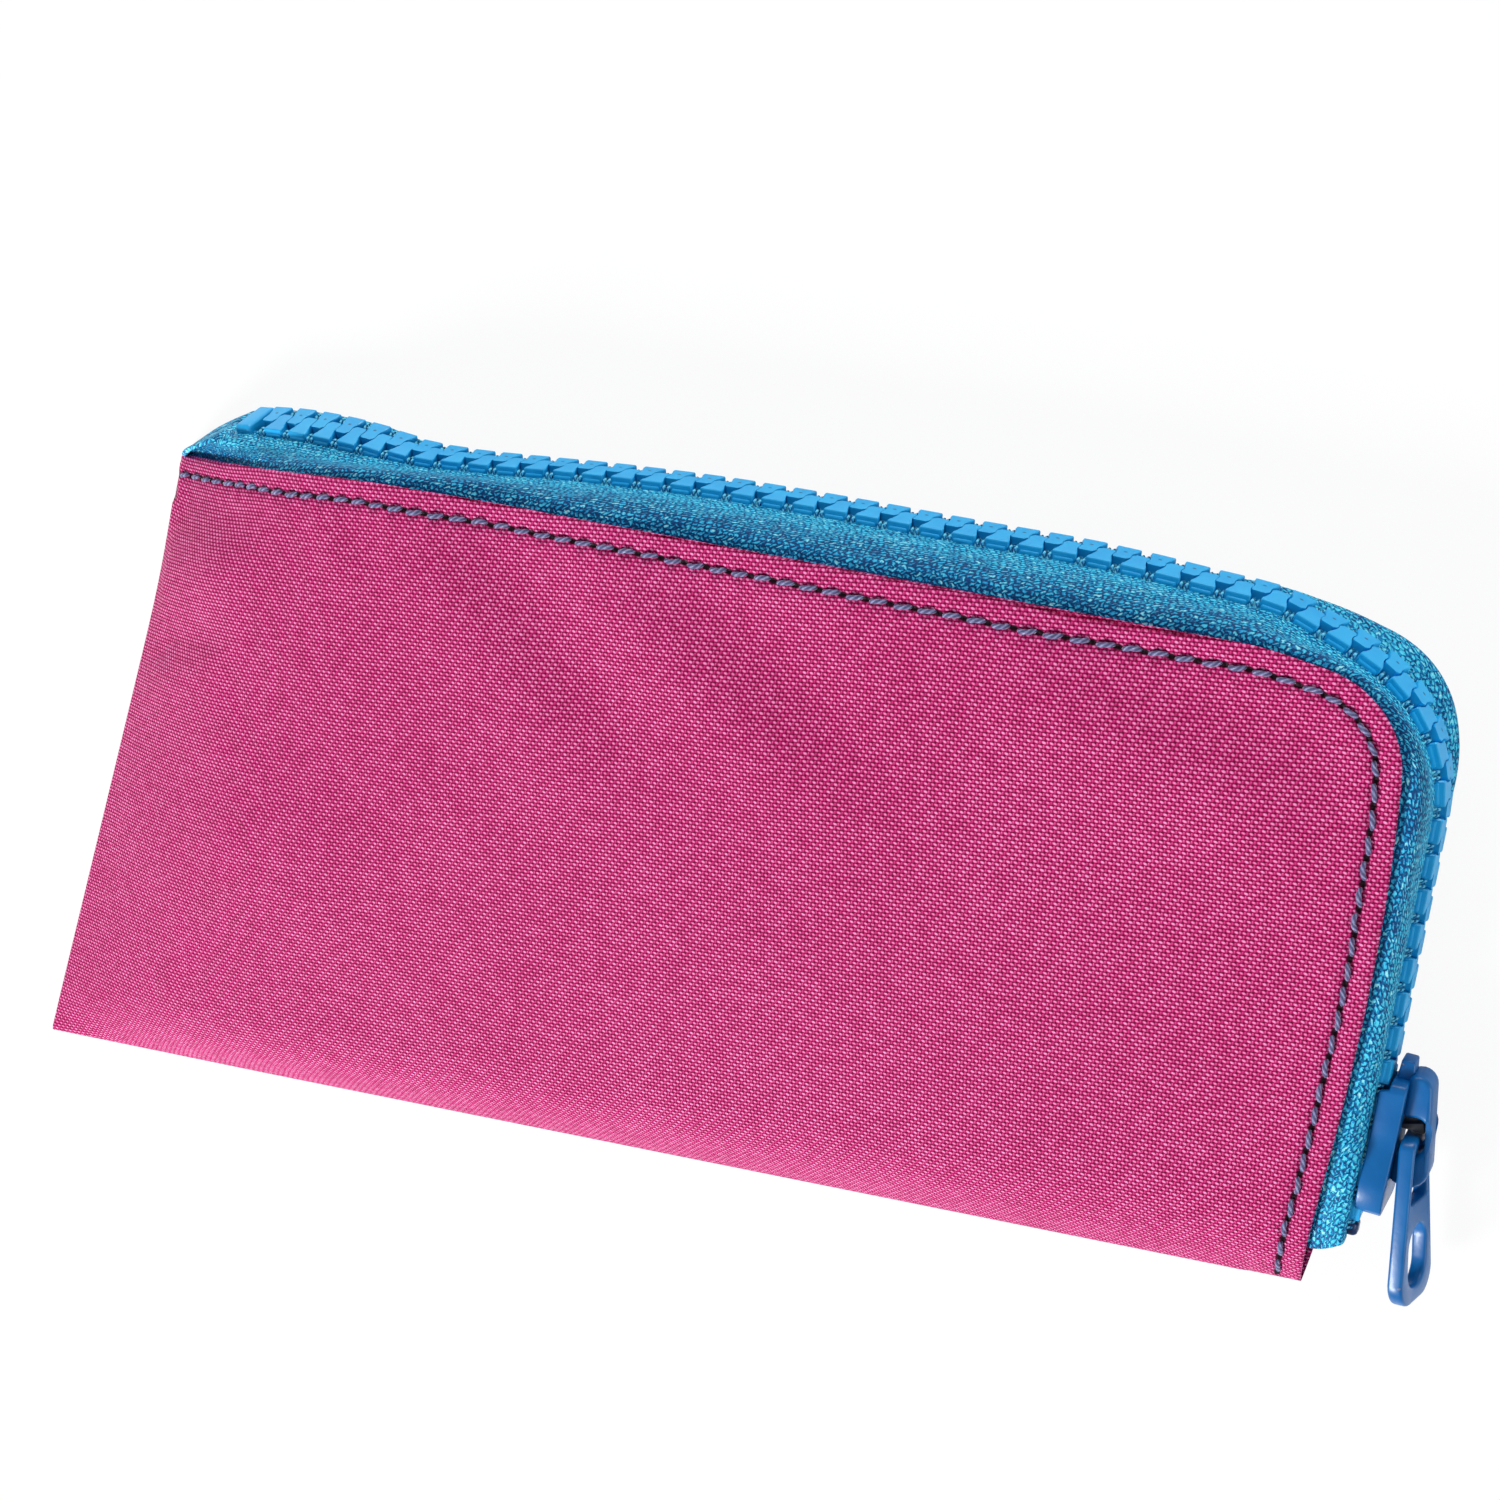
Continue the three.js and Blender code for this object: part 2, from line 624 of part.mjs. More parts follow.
// One line of points across a tape; side is 1 for the front tape and -1 for the back
function tapeRow(share, side) {
  const distance = share * zipLength;
  const frame = zipFrame(distance);
  const inner = toothReach + layerGap + splayAt(distance - splayEase);
  const outer = Math.max(flatReach, inner + tapeEdgeWidth);
  const hem = facingHem(share);
  const under = clothThickness + hemTurn + tapeHemGap + tapeThickness / 2;
  const lay = (plan) =>
    at(plan, side > 0 ? frontHeight(plan.x, plan.y) - under : backHeight(plan.x, plan.y) + under);
  const edge = lay(hem.place);
  const flat = inFrame(frame, side * outer);
  const reach = flat.distanceTo(edge);
  const leave = flat.clone().addScaledVector(frame.front, side * reach * (side > 0 ? frontLeaveShare : backLeaveShare));
  const meet = at(hem.place.clone().addScaledVector(hem.inward, -reach * meetShare), edge.z);
  const bend = new THREE.CubicBezierCurve3(flat, leave, meet, edge);
  return [
    inFrame(frame, side * inner),
    flat,
    ...curveShares.map((t) => bend.getPoint(t)),
    edge,
    ...[0.5, 1].map((t) => lay(hem.place.clone().addScaledVector(hem.inward, tapeTuck * t))),
  ];
}

const tape = (side) => sheetAround(evenShares(tapeStations).map((share) => tapeRow(share, side)), tapeThickness);
addMesh("front_zip_tape", tape(1), "tape");
addMesh("back_zip_tape", tape(-1), "tape");

// Stitching: one thread round the hem, up on the cloth between its dips into the needle holes
const stitchLine = [...longHem.getSpacedPoints(140), ...sideHem.getSpacedPoints(60).slice(1)];
const stitchPath = new THREE.CatmullRomCurve3(stitchLine.map((point) => at(point, 0)));
stitchPath.arcLengthDivisions = 1200;
const stitchRun = stitchPath.getLength() - 2 * stitchStart;
const stitchCount = Math.floor(stitchRun / stitchPitch);
const threadSides = 3;
const stitchesPerTurn = 2;

function stitching(side) {
  const height = side > 0 ? frontHeight : backHeight;
  const steps = stitchCount * stitchesPerTurn;
  const path = evenShares(steps).map((share, k) => {
    const along = (stitchStart + share * stitchCount * stitchPitch) / stitchPath.getLength();
    const point = stitchPath.getPointAt(along);
    const tangent = stitchPath.getTangentAt(along);
    const x = point.x + tangent.y * stitchInset;
    const y = point.y - tangent.x * stitchInset;
    const off = threadWidth / 2 + threadLift + (k % stitchesPerTurn) * stitchDip;
    return new THREE.Vector3(x, y, height(x, y) + side * off);
  });
  const half = threadWidth / 2;
  const section = evenShares(threadSides).slice(1).map((share) => {
    const turn = share * 2 * Math.PI;
    return new THREE.Vector2(half * Math.cos(turn), half * Math.sin(turn));
  });
  const extrudePath = new THREE.CatmullRomCurve3(path);
  return new THREE.ExtrudeGeometry(new THREE.Shape(section), { steps, extrudePath, bevelEnabled: false });
}

addMesh("front_hem_stitching", stitching(1), "thread");
addMesh("back_hem_stitching", stitching(-1), "thread");

// Bindings over the raw edges of the two turned seams, inside
const bindingSteps = evenShares(14);
const bindingAcross = evenShares(2).map((share) => bindingInset + share * bindingWidth);
const bindingBelow = shift(backAbove, layerGap);
const bindingAbove = shift(bindingBelow, bindingThickness);
const sideBindingShares = [0.095, 0.9];
const bottomBindingShares = [0.06, 0.95];

function binding(plan) {
  const grid = (height) => plan.map((row) => row.map((point) => at(point, height(point.x, point.y))));
  return sheetBetween(grid(bindingAbove), grid(bindingBelow));
}

const besideLeftSeam = bindingSteps.map((share) =>
  bindingAcross.map((across) => {
    const foot = bottomLeft.clone().lerp(topLeft, lerp(...sideBindingShares, share));
    return foot.add(new THREE.Vector2(leftSeamLine.y, -leftSeamLine.x).multiplyScalar(across));
  }),
);
const aboveBottomSeam = bindingSteps.map((share) =>
  bindingAcross.map((up) => {
    const foot = bottomLeft.clone().lerp(bottomRight, lerp(...bottomBindingShares, share));
    return foot.add(new THREE.Vector2(0, up));
  }),
);
addMesh("side_seam_binding", binding(besideLeftSeam), "lining");
addMesh("bottom_seam_binding", binding(aboveBottomSeam), "lining");

// Flat pocket on the back lining and the elastic along its top edge
const innerFloor = clothThickness + 2 * layerGap + liningThickness;

function slab(name, length, depth, thickness, x, y) {
  const geometry = new THREE.BoxGeometry(length, depth, thickness);
  addMesh(name, geometry.translate(x, y + depth / 2, innerFloor + thickness / 2), "lining");
}

slab("inner_pocket", pocketLength, pocketDepth, pocketThickness, pocketAcross, pocketFoot);
const trimFoot = pocketFoot + pocketDepth + layerGap;
slab("pocket_trim", pocketLength, trimWidth, trimThickness, pocketAcross, trimFoot);

// Elastic loops on the back lining: an arch with a foot on each side
function loopShape(span, rise) {
  const half = span / 2;
  const inner = rise - loopThickness;
  const shape = new THREE.Shape();
  shape.moveTo(half, 0);
  shape.lineTo(half, loopThickness);
  shape.lineTo(half - loopFoot, loopThickness);
  archPoints(half - loopFoot, rise, loopThickness).forEach((point) => shape.lineTo(point.x, point.y));
  shape.lineTo(-half, loopThickness);
  shape.lineTo(-half, 0);
  shape.lineTo(loopFoot + loopThickness - half, 0);
  archPoints(loopFoot + loopThickness - half, inner, 0).forEach((point) => shape.lineTo(point.x, point.y));
  return shape;
}

// Points over an arch from one end to the other
function archPoints(half, rise, foot) {
  return evenShares(10).slice(1).map((share) => {
    const turn = share * Math.PI;
    return new THREE.Vector2(half * Math.cos(turn), foot + (rise - foot) * Math.sin(turn));
  });
}

function loop(name, span, rise, x, y, turn) {
  const body = new THREE.ExtrudeGeometry(loopShape(span, rise), { depth: loopWidth, bevelEnabled: false });
  body.translate(0, 0, -loopWidth / 2).rotateX(Math.PI / 2).rotateZ(turn);
  addMesh(name, body.translate(x, y, innerFloor), "lining");
}

loop("pen_loop", penSpan, penRise, penAcross, penUp, Math.PI / 2);
loop("strip_vial_loop", vialSpan, vialRise, vialAcross, vialUp, 0);

// Slider, crown and puller in the slider's own frame: x along the zip, y towards the front, z outwards
const slider = new THREE.Group();
slider.applyMatrix4(frameMatrix(sliderRest, 1, 0));
part.add(slider);
const halfLength = sliderLength / 2;
const halfWidth = toothReach + sliderClearance + flangeWall;
const channelHalf = toothHeight / 2 + sliderClearance;
const slotHalf = tapeThickness / 2 + sliderClearance;
const innerFace = -channelHalf - plateThickness;
const outerFace = channelHalf + plateThickness + outerCover;

// Prism through a shape, its depth centred, turned so that the shape's own axes lie on two given ones
function prism(points, depth, acrossAxis, upAxis) {
  const shape = new THREE.Shape(points.map(([x, y]) => new THREE.Vector2(x, y)));
  const body = new THREE.ExtrudeGeometry(shape, { depth, bevelEnabled: false });
  body.translate(0, 0, -depth / 2);
  const matrix = new THREE.Matrix4().makeBasis(acrossAxis, upAxis, acrossAxis.clone().cross(upAxis));
  return solidOf(body.applyMatrix4(matrix));
}

function box(low, high) {
  const size = high.map((value, k) => value - low[k]);
  const middle = high.map((value, k) => (value + low[k]) / 2);
  return solidOf(new THREE.BoxGeometry(...size).translate(...middle));
}

function sliderSolid() {
  const b = plateBevel;
  const c = plateCorner;
  const end = [
    [-halfWidth, innerFace + b],
    [b - halfWidth, innerFace],
    [halfWidth - b, innerFace],
    [halfWidth, innerFace + b],
    [halfWidth, outerFace - b],
    [halfWidth - b, outerFace],
    [b - halfWidth, outerFace],
    [-halfWidth, outerFace - b],
  ];
  const plan = [
    [-halfLength, c - halfWidth],
    [c - halfLength, -halfWidth],
    [halfLength - b, -halfWidth],
    [halfLength, b - halfWidth],
    [halfLength, halfWidth - b],
    [halfLength - b, halfWidth],
    [c - halfLength, halfWidth],
    [-halfLength, halfWidth - c],
  ];
  const block = prism(end, sliderLength, axisY, axisZ).intersect(prism(plan, sliderLength, axisX, axisY));
  const far = sliderLength;
  const flangeEnd = halfLength - sliderLength * flangeShare;
  const reach = toothReach + sliderClearance;
  const channel = box([-far, -reach, -channelHalf], [far, reach, channelHalf]);
  const mouth = box([-far, -far, -channelHalf], [flangeEnd, far, channelHalf]);
  const slots = box([-far, -far, -slotHalf], [far, far, slotHalf]);
  const wedge = [
    [-halfLength, -postWidth / 2],
    [postLength - halfLength, -postNose / 2],
    [postLength - halfLength, postNose / 2],
    [-halfLength, postWidth / 2],
  ];
  const post = prism(wedge, 2 * channelHalf + plateThickness, axisX, axisY);
  return block.subtract(channel).subtract(mouth).subtract(slots).add(post);
}

addMesh("slider_body", geometryOf(sliderSolid()), "metal", slider);

// Bridge over the puller's bar, with a small tail at its upper end
const eyeMiddle = outerFace + eyeRise;
const crownFoot = outerFace + sliderClearance;
const crownTop = crownFoot + crownRise;
const crownEnd = halfLength + crownAhead;

function crownSolid() {
  const start = crownEnd - crownLength;
  const round = crownRound;
  const quarter = Math.PI / 2;
  const shape = new THREE.Shape();
  shape.moveTo(start, crownFoot);
  shape.lineTo(eyeUp - eyeRadius, crownFoot);
  shape.lineTo(eyeUp - eyeRadius, eyeMiddle);
  shape.absarc(eyeUp, eyeMiddle, eyeRadius, 2 * quarter, quarter, true);
  shape.absarc(eyeUp + eyeRun, eyeMiddle, eyeRadius, quarter, 0, true);
  shape.lineTo(eyeUp + eyeRun + eyeRadius, crownFoot);
  shape.lineTo(crownEnd, crownFoot);
  shape.absarc(crownEnd - round, crownTop - round, round, 0, quarter);
  shape.absarc(start + round, crownTop - round, round, quarter, 2 * quarter);
  const points = shape.extractPoints(4).shape.map(({ x, y }) => [x, y]);
  const bridge = prism(points, crownWidth, axisX, axisZ);
  const tailHalf = tailWidth / 2;
  const tail = box([crownEnd - round, -tailHalf, crownFoot], [crownEnd + tailLength, tailHalf, crownFoot + tailRise]);
  return bridge.add(tail);
}

addMesh("slider_crown", geometryOf(crownSolid()), "metal", slider);

// Puller, hanging from its bar in the eye: a tab with a hole for the crown and a hole to grip
function pullerGeometry() {
  const top = pullerBar / 2;
  const foot = top - pullerLength;
  const topHalf = pullerTopWidth / 2;
  const footHalf = pullerWidth / 2;
  const round = pullerRound;
  const shape = new THREE.Shape();
  shape.moveTo(topHalf - round / 2, top);
  shape.lineTo(topHalf, top - round / 2);
  shape.lineTo(footHalf, foot + round);
  shape.quadraticCurveTo(footHalf, foot, footHalf - round, foot);
  shape.lineTo(round - footHalf, foot);
  shape.quadraticCurveTo(-footHalf, foot, -footHalf, foot + round);
  shape.lineTo(-topHalf, top - round / 2);
  shape.lineTo(round / 2 - topHalf, top);
  const holeHalf = crownHoleWidth / 2;
  const holeTop = top - pullerBar;
  const holeFoot = holeTop - crownHoleLength;
  const crownHole = new THREE.Path();
  crownHole.moveTo(-holeHalf, holeTop);
  crownHole.lineTo(-holeHalf, holeFoot);
  crownHole.lineTo(holeHalf, holeFoot);
  crownHole.lineTo(holeHalf, holeTop);
  const gripHalf = gripHoleWidth / 2;
  const gripTop = holeFoot - pullerBand - gripHalf;
  const gripFoot = holeFoot - pullerBand - gripHoleLength + gripHalf;
  const gripHole = new THREE.Path();
  gripHole.absarc(0, gripTop, gripHalf, 0, Math.PI);
  gripHole.absarc(0, gripFoot, gripHalf, Math.PI, 2 * Math.PI);
  shape.holes.push(crownHole, gripHole);
  const settings = { depth: pullerThickness, bevelEnabled: false, curveSegments: 5 };
  const body = new THREE.ExtrudeGeometry(shape, settings).translate(0, 0, -pullerThickness / 2);
  const matrix = new THREE.Matrix4().makeBasis(axisY.clone().negate(), axisX, axisZ);
  return body.applyMatrix4(matrix).rotateY(radians(pullerTilt)).translate(eyeUp, 0, eyeMiddle);
}

addMesh("puller", pullerGeometry(), "metal", slider);

export default part;
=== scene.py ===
"""A soft zip case for a glucose meter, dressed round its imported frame: woven panels, knitted zip tapes, moulded
teeth, an enamelled slider with its puller, and the fittings inside. Lengths are in millimetres in the part's plan
frame, and become metres in the row frame when a mesh is made."""

import bmesh
import bpy
import numpy as np
from mathutils import Matrix
from mathutils.geometry import delaunay_2d_cdt
from mathutils.kdtree import KDTree


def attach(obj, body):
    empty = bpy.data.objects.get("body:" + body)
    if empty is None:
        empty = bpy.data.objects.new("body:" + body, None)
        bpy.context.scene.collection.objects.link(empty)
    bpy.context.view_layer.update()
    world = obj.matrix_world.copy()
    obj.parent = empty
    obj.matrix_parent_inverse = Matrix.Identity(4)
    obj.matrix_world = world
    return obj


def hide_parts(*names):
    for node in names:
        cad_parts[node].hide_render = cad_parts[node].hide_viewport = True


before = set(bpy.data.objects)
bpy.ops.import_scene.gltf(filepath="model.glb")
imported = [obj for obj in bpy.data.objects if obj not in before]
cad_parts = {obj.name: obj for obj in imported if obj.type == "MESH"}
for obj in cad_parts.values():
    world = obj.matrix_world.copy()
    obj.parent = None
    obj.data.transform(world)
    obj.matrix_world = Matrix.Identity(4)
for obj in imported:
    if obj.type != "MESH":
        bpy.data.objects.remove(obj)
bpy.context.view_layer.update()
scene = bpy.context.scene
rng = np.random.default_rng(11)
SIDES = {1: "front", -1: "back"}
REST_UP = 44.0  # the plan's y at the row's origin


# ---------------------------------------------------------------- curves
def smooth(x, low, high):
    t = np.clip((np.asarray(x, float) - low) / (high - low), 0, 1)
    return t * t * (3 - 2 * t)


def bell(x, width):
    return np.exp(-((x / width) ** 2))


def unit(v):
    return v / np.maximum(np.linalg.norm(v, axis=-1, keepdims=True), 1e-12)


def right_of(tangent):
    return np.stack([tangent[:, 1], -tangent[:, 0]], -1)


def arc(cx, cy, r, start, end, count, ry=None):
    """Points of an arc between two angles in degrees."""
    v = np.radians(np.linspace(start, end, count))
    return list(zip(cx + r * np.cos(v), cy + (r if ry is None else ry) * np.sin(v)))


def rounded_box(half_top, half_foot, top, foot, r):
    """Outline of an upright box with round corners."""
    middles = (half_top - r, top - r), (r - half_top, top - r), (r - half_foot, foot + r), (half_foot - r, foot + r)
    return [p for k, (x, y) in enumerate(middles) for p in arc(x, y, r, 90 * k, 90 * k + 90, 5)]


def inside(points, outline):
    """Which points lie within an outline, by crossing number."""
    crossings = np.zeros(len(points), int)
    for (ax, ay), (bx, by) in zip(outline, np.roll(outline, -1, axis=0)):
        if ay != by:
            meets = points[:, 0] < (bx - ax) * (points[:, 1] - ay) / (by - ay) + ax
            crossings += ((ay > points[:, 1]) != (by > points[:, 1])) & meets
    return crossings % 2 == 1


class Path:
    """A polyline that is read by length."""

    def __init__(self, points):
        self.p = np.asarray(points, float)
        steps = np.linalg.norm(np.diff(self.p, axis=0), axis=1)
        self.s = np.concatenate([[0], np.cumsum(steps)])
        self.length = self.s[-1]

    def at(self, s):
        return np.stack([np.interp(s, self.s, column) for column in self.p.T], -1)

    def tangent(self, s, step=0.05):
        s = np.clip(s, step, self.length - step)
        return unit(self.at(s + step) - self.at(s - step))


def spline(points, centripetal, per):
    """A curve through points, plain or centripetal."""
    points = np.asarray(points, float)
    if centripetal:
        first, last = 2 * points[0] - points[1], 2 * points[-1] - points[-2]
    else:
        first, last = points[0], points[-1]
    p = np.vstack([first, points, last])
    t = np.linspace(0, 1, per, endpoint=False)[:, None]
    out = []
    for k in range(1, len(p) - 2):
        x0, x1, x2, x3 = p[k - 1 : k + 3]
        if centripetal:
            a, b, c = (np.sqrt(max(np.linalg.norm(v), 1e-9)) for v in (x1 - x0, x2 - x1, x3 - x2))
            t1 = ((x1 - x0) / a - (x2 - x0) / (a + b) + (x2 - x1) / b) * b
            t2 = ((x2 - x1) / b - (x3 - x1) / (b + c) + (x3 - x2) / c) * b
        else:
            t1, t2 = (x2 - x0) / 2, (x3 - x1) / 2
        out.append(x1 + t1 * t + (3 * (x2 - x1) - 2 * t1 - t2) * t**2 + (2 * (x1 - x2) + t1 + t2) * t**3)
    return np.vstack(out + [points[-1:]])


# ---------------------------------------------------------------- the case's form
BASE_HALF, BASE_TILT = 98.25, 1.35
BASE = 2 * BASE_HALF
BOTTOM_LEFT, BOTTOM_RIGHT = np.array([-BASE_HALF, -BASE_TILT]), np.array([BASE_HALF, BASE_TILT])
DEPTH = 89.2
TOP_LEFT = np.array([-71.95, DEPTH])
SIDE_TOP = BOTTOM_RIGHT + [8.05, 65.65]
SIDE_PULL = SIDE_TOP - [0, 24.0]
CORNER_RADIUS = 12.0
CORNER_MIDDLE = SIDE_TOP - [CORNER_RADIUS, 0]
corner_turns = np.linspace(np.radians(76.0), 0, 60)[:, None]
corner_arc = CORNER_MIDDLE + CORNER_RADIUS * np.hstack([np.cos(corner_turns), np.sin(corner_turns)])
TOP_RIGHT = corner_arc[0]
# the top hem: shares of its run, and of its fall from the left end to the right
TOP_SHARES = np.array([[0, 1], [0.22, 1.12], [0.375, 0.97], [0.54, 0.74], [0.7, 0.51], [0.88, 0.25],
                       [0.95, 0.18], [1, 0]])
top_points = np.stack([TOP_LEFT[0] + (TOP_RIGHT[0] - TOP_LEFT[0]) * TOP_SHARES[:, 0],
                       TOP_RIGHT[1] + (TOP_LEFT[1] - TOP_RIGHT[1]) * TOP_SHARES[:, 1]], -1)
top_hem = Path(spline(top_points, False, 80))
t = np.linspace(0, 1, 200)[:, None]
side_hem = Path((1 - t) ** 2 * SIDE_TOP + 2 * t * (1 - t) * SIDE_PULL + t**2 * BOTTOM_RIGHT)
long_hem = Path(np.vstack([top_hem.p, corner_arc[1:]]))
hem = Path(np.vstack([long_hem.p, side_hem.p[1:]]))
bottom_seam = Path([BOTTOM_RIGHT, BOTTOM_LEFT])
left_seam = Path([BOTTOM_LEFT, TOP_LEFT])
LEFT_WAY = unit(TOP_LEFT - BOTTOM_LEFT)
hem_samples = np.arange(0, hem.length, 0.1)
hem_tree = KDTree(len(hem_samples))
for number, point in enumerate(hem.at(hem_samples)):
    hem_tree.insert((*point, 0), number)
hem_tree.balance()


def from_hem(x, y):
    """Place along the hem and distance from it, for each point."""
    found = [hem_tree.find((a, b, 0)) for a, b in zip(np.ravel(x), np.ravel(y))]
    place = hem_samples[[f[1] for f in found]].reshape(np.shape(x))
    return place, np.array([f[2] for f in found]).reshape(np.shape(x))


def from_left(x, y):
    return (x - BOTTOM_LEFT[0]) * LEFT_WAY[1] - (y - BOTTOM_LEFT[1]) * LEFT_WAY[0]


def from_bottom(x, y):
    return y - (-BASE_TILT + 2 * BASE_TILT * (x + BASE_HALF) / BASE)


SEAM_LOW, SEAM_RISE = 1.4, 6.6
BOTTOM_ROLL, LEFT_ROLL = 14.0, 50.0
BODY_LOW, BODY_RISE, SWELL = 14.0, 8.4, 3.4


def seam_height(x):
    return SEAM_LOW + SEAM_RISE * np.clip((x + BASE_HALF) / BASE, 0, 1)


def bottom_turn(x, y):
    return np.clip(1 - np.maximum(from_bottom(x, y), 0) / BOTTOM_ROLL, 0, 1) ** 2.6


# folds: from, to, half width, depth
FOLDS = [
    ((-80, 77.5), (-50, 80.5), 5.0, 2.4),
    ((-74.5, 60.0), (-56, 64.5), 2.8, 0.9),
    ((-18.5, 86.5), (9.5, 57.0), 5.8, 1.75),
    ((9.0, 83.0), (40.0, 59.5), 6.0, 1.85),
    ((62.0, 77.5), (99.0, 63.0), 6.0, 1.8),
    ((-35.5, 86.5), (-29.5, 78.0), 3.2, 0.8),
    ((-54.0, 48.0), (-27.0, 39.0), 9.0, 1.0),
]


def folds(x, y):
    """S-shaped folds that fade at both ends, and slow and fine unevenness."""
    out = np.zeros(np.shape(x))
    for (x0, y0), (x1, y1), half, depth in FOLDS:
        run = np.hypot(x1 - x0, y1 - y0)
        ax, ay = (x1 - x0) / run, (y1 - y0) / run
        along = (x - x0) * ax + (y - y0) * ay
        q = (-(x - x0) * ay + (y - y0) * ax) / half
        ends = smooth(along, -0.2 * run, 0.25 * run) * (1 - smooth(along, 0.72 * run, 1.25 * run))
        out -= depth * q * np.exp(-q * q / 2) * ends
    edge = smooth(from_left(x, y), 0, 5) * smooth(from_bottom(x, y), 0, 8)
    slow = 0.16 * np.sin(x / 9.0 + 1.2 * np.sin(y / 17.0)) * np.sin(y / 12.0 + 0.9 * np.sin(x / 23.0 + 1))
    fine = 0.05 * np.sin(x / 3.1 + y / 5.2 + 2 * np.sin(x / 29.0)) * np.sin(y / 4.3 - x / 8.1)
    return (out + slow + fine) * edge


def front_height(x, y):
    swell = np.clip(1 - ((x - 7.5) / 98.0) ** 2, 0, 1) * np.clip(1 - ((y - REST_UP) / 46.0) ** 2, 0, 1)
    body = BODY_LOW + BODY_RISE * y / DEPTH + SWELL * swell
    left = (1 - np.clip(np.maximum(from_left(x, y), 0) / LEFT_ROLL, 0, 1)) ** 2
    seam = seam_height(x)
    return seam + (body - seam) * (1 - left) * (1 - bottom_turn(x, y)) + folds(x, y)


CLOTH, HEM_TURN, HEM_WIDTH = 0.55, 0.45, 7.0


def hem_share(x, y, d):
    """1 under the turned hem, 0 beyond it and at the seams."""
    seams = smooth(from_left(x, y), 0, 5) * smooth(from_bottom(x, y), 0, 5)
    return seams * (1 - smooth(d, HEM_WIDTH, HEM_WIDTH + 2.5))


def back_height(x, y, d=None):
    d = from_hem(x, y)[1] if d is None else d
    return np.maximum(0, seam_height(x) - SEAM_LOW) * bottom_turn(x, y) + 0.75 * hem_share(x, y, d)


# ---------------------------------------------------------------- meshes
def to_row(points):
    """Row metres of points in the plan frame, with the hem's left corner drawn out a little."""
    p = np.asarray(points, float).reshape(-1, 3)
    drawn = bell(p[:, :1] + 72.5, 17.0) * bell(p[:, 1:2] - 89.0, 13.0)
    return (p + drawn * [-1.15, 0.9, 0] - [0, REST_UP, 0]) * 0.001


def as_piece(name, mesh, finish, body, node):
    material, slot = finish
    ob = bpy.data.objects.new(name, mesh)
    scene.collection.objects.link(ob)
    mesh.materials.append(material)
    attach(ob, body)
    if node:
        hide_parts(node)
    return ob


def make(name, points, faces, finish, node, uvs, smooth_shade=True):
    """A piece of the case, with a map for each named layer."""
    mesh = bpy.data.meshes.new(name)
    mesh.from_pydata(to_row(points).tolist(), [], [list(map(int, f)) for f in faces])
    mesh.validate()
    loops = np.zeros(len(mesh.loops), int)
    mesh.loops.foreach_get("vertex_index", loops)
    for layer, values in uvs.items():
        mesh.uv_layers.new(name=layer).data.foreach_set("uv", np.asarray(values, float)[loops].ravel())
    mesh.polygons.foreach_set("use_smooth", [smooth_shade] * len(mesh.polygons))
    mesh.update()
    return as_piece(name, mesh, finish, "case", node)


def grid_faces(rows, columns, start=0, flip=False, wrap=False):
    i, j = np.meshgrid(np.arange(rows - 1), np.arange(columns if wrap else columns - 1), indexing="ij")
    i, j = i.ravel(), j.ravel()
    k = (j + 1) % columns
    quad = np.stack([i * columns + j, i * columns + k, (i + 1) * columns + k, (i + 1) * columns + j], -1) + start
    return quad[:, ::-1] if flip else quad


def sheet(name, points, thickness, finish, node, run):
    """A closed sheet of a thickness about a grid of points, with one map on both faces."""
    rows, columns = points.shape[:2]
    normal = unit(np.cross(np.gradient(points, axis=0), np.gradient(points, axis=1)))
    both = np.concatenate([(points + normal * thickness / 2).reshape(-1, 3),
                           (points - normal * thickness / 2).reshape(-1, 3)])
    half = rows * columns
    index = np.arange(half).reshape(rows, columns)
    rim = np.concatenate([index[0, :], index[1:, -1], index[-1, -2::-1], index[-2:0:-1, 0]])
    ahead = np.roll(rim, -1)
    faces = np.concatenate([grid_faces(rows, columns), grid_faces(rows, columns, half, True),
                            np.stack([ahead, rim, rim + half, ahead + half], -1)])
    run = np.reshape(run, (-1, 2))
    return make(name, both, faces, finish, node, {"run": np.vstack([run, run])})


def tube(path, radius, sides, twist=0.0, lobes=0, lobe=0.0):
    """A tube round a line of points: radius may vary along it, and lobes give it a laid strand's form."""
    n = len(path)
    tangent = unit(np.gradient(path, axis=0))
    side = unit(np.cross(tangent, [0, 0, 1.0]))
    top = np.cross(side, tangent)
    angle = np.linspace(0, 2 * np.pi, sides, endpoint=False)[None]
    length = np.concatenate([[0], np.cumsum(np.linalg.norm(np.diff(path, axis=0), axis=1))])[:, None]
    r = np.broadcast_to(radius, n)[:, None] * (1 + lobe * np.cos(lobes * (angle - twist * length)))
    x, y = (r * np.cos(angle))[..., None], (r * np.sin(angle))[..., None]
    ring = path[:, None] + x * side[:, None] + y * top[:, None]
    points = np.vstack([ring.reshape(-1, 3), path[:1], path[-1:]])
    faces = [list(f) for f in grid_faces(n, sides, wrap=True)]
    for j in range(sides):
        k = (j + 1) % sides
        faces += [[n * sides, k, j], [n * sides + 1, (n - 1) * sides + j, (n - 1) * sides + k]]
    uv = np.stack(np.broadcast_arrays(length, angle / (2 * np.pi)), -1).reshape(-1, 2)
    return points, faces, np.vstack([uv, [[0, 0], [length[-1, 0], 0]]])


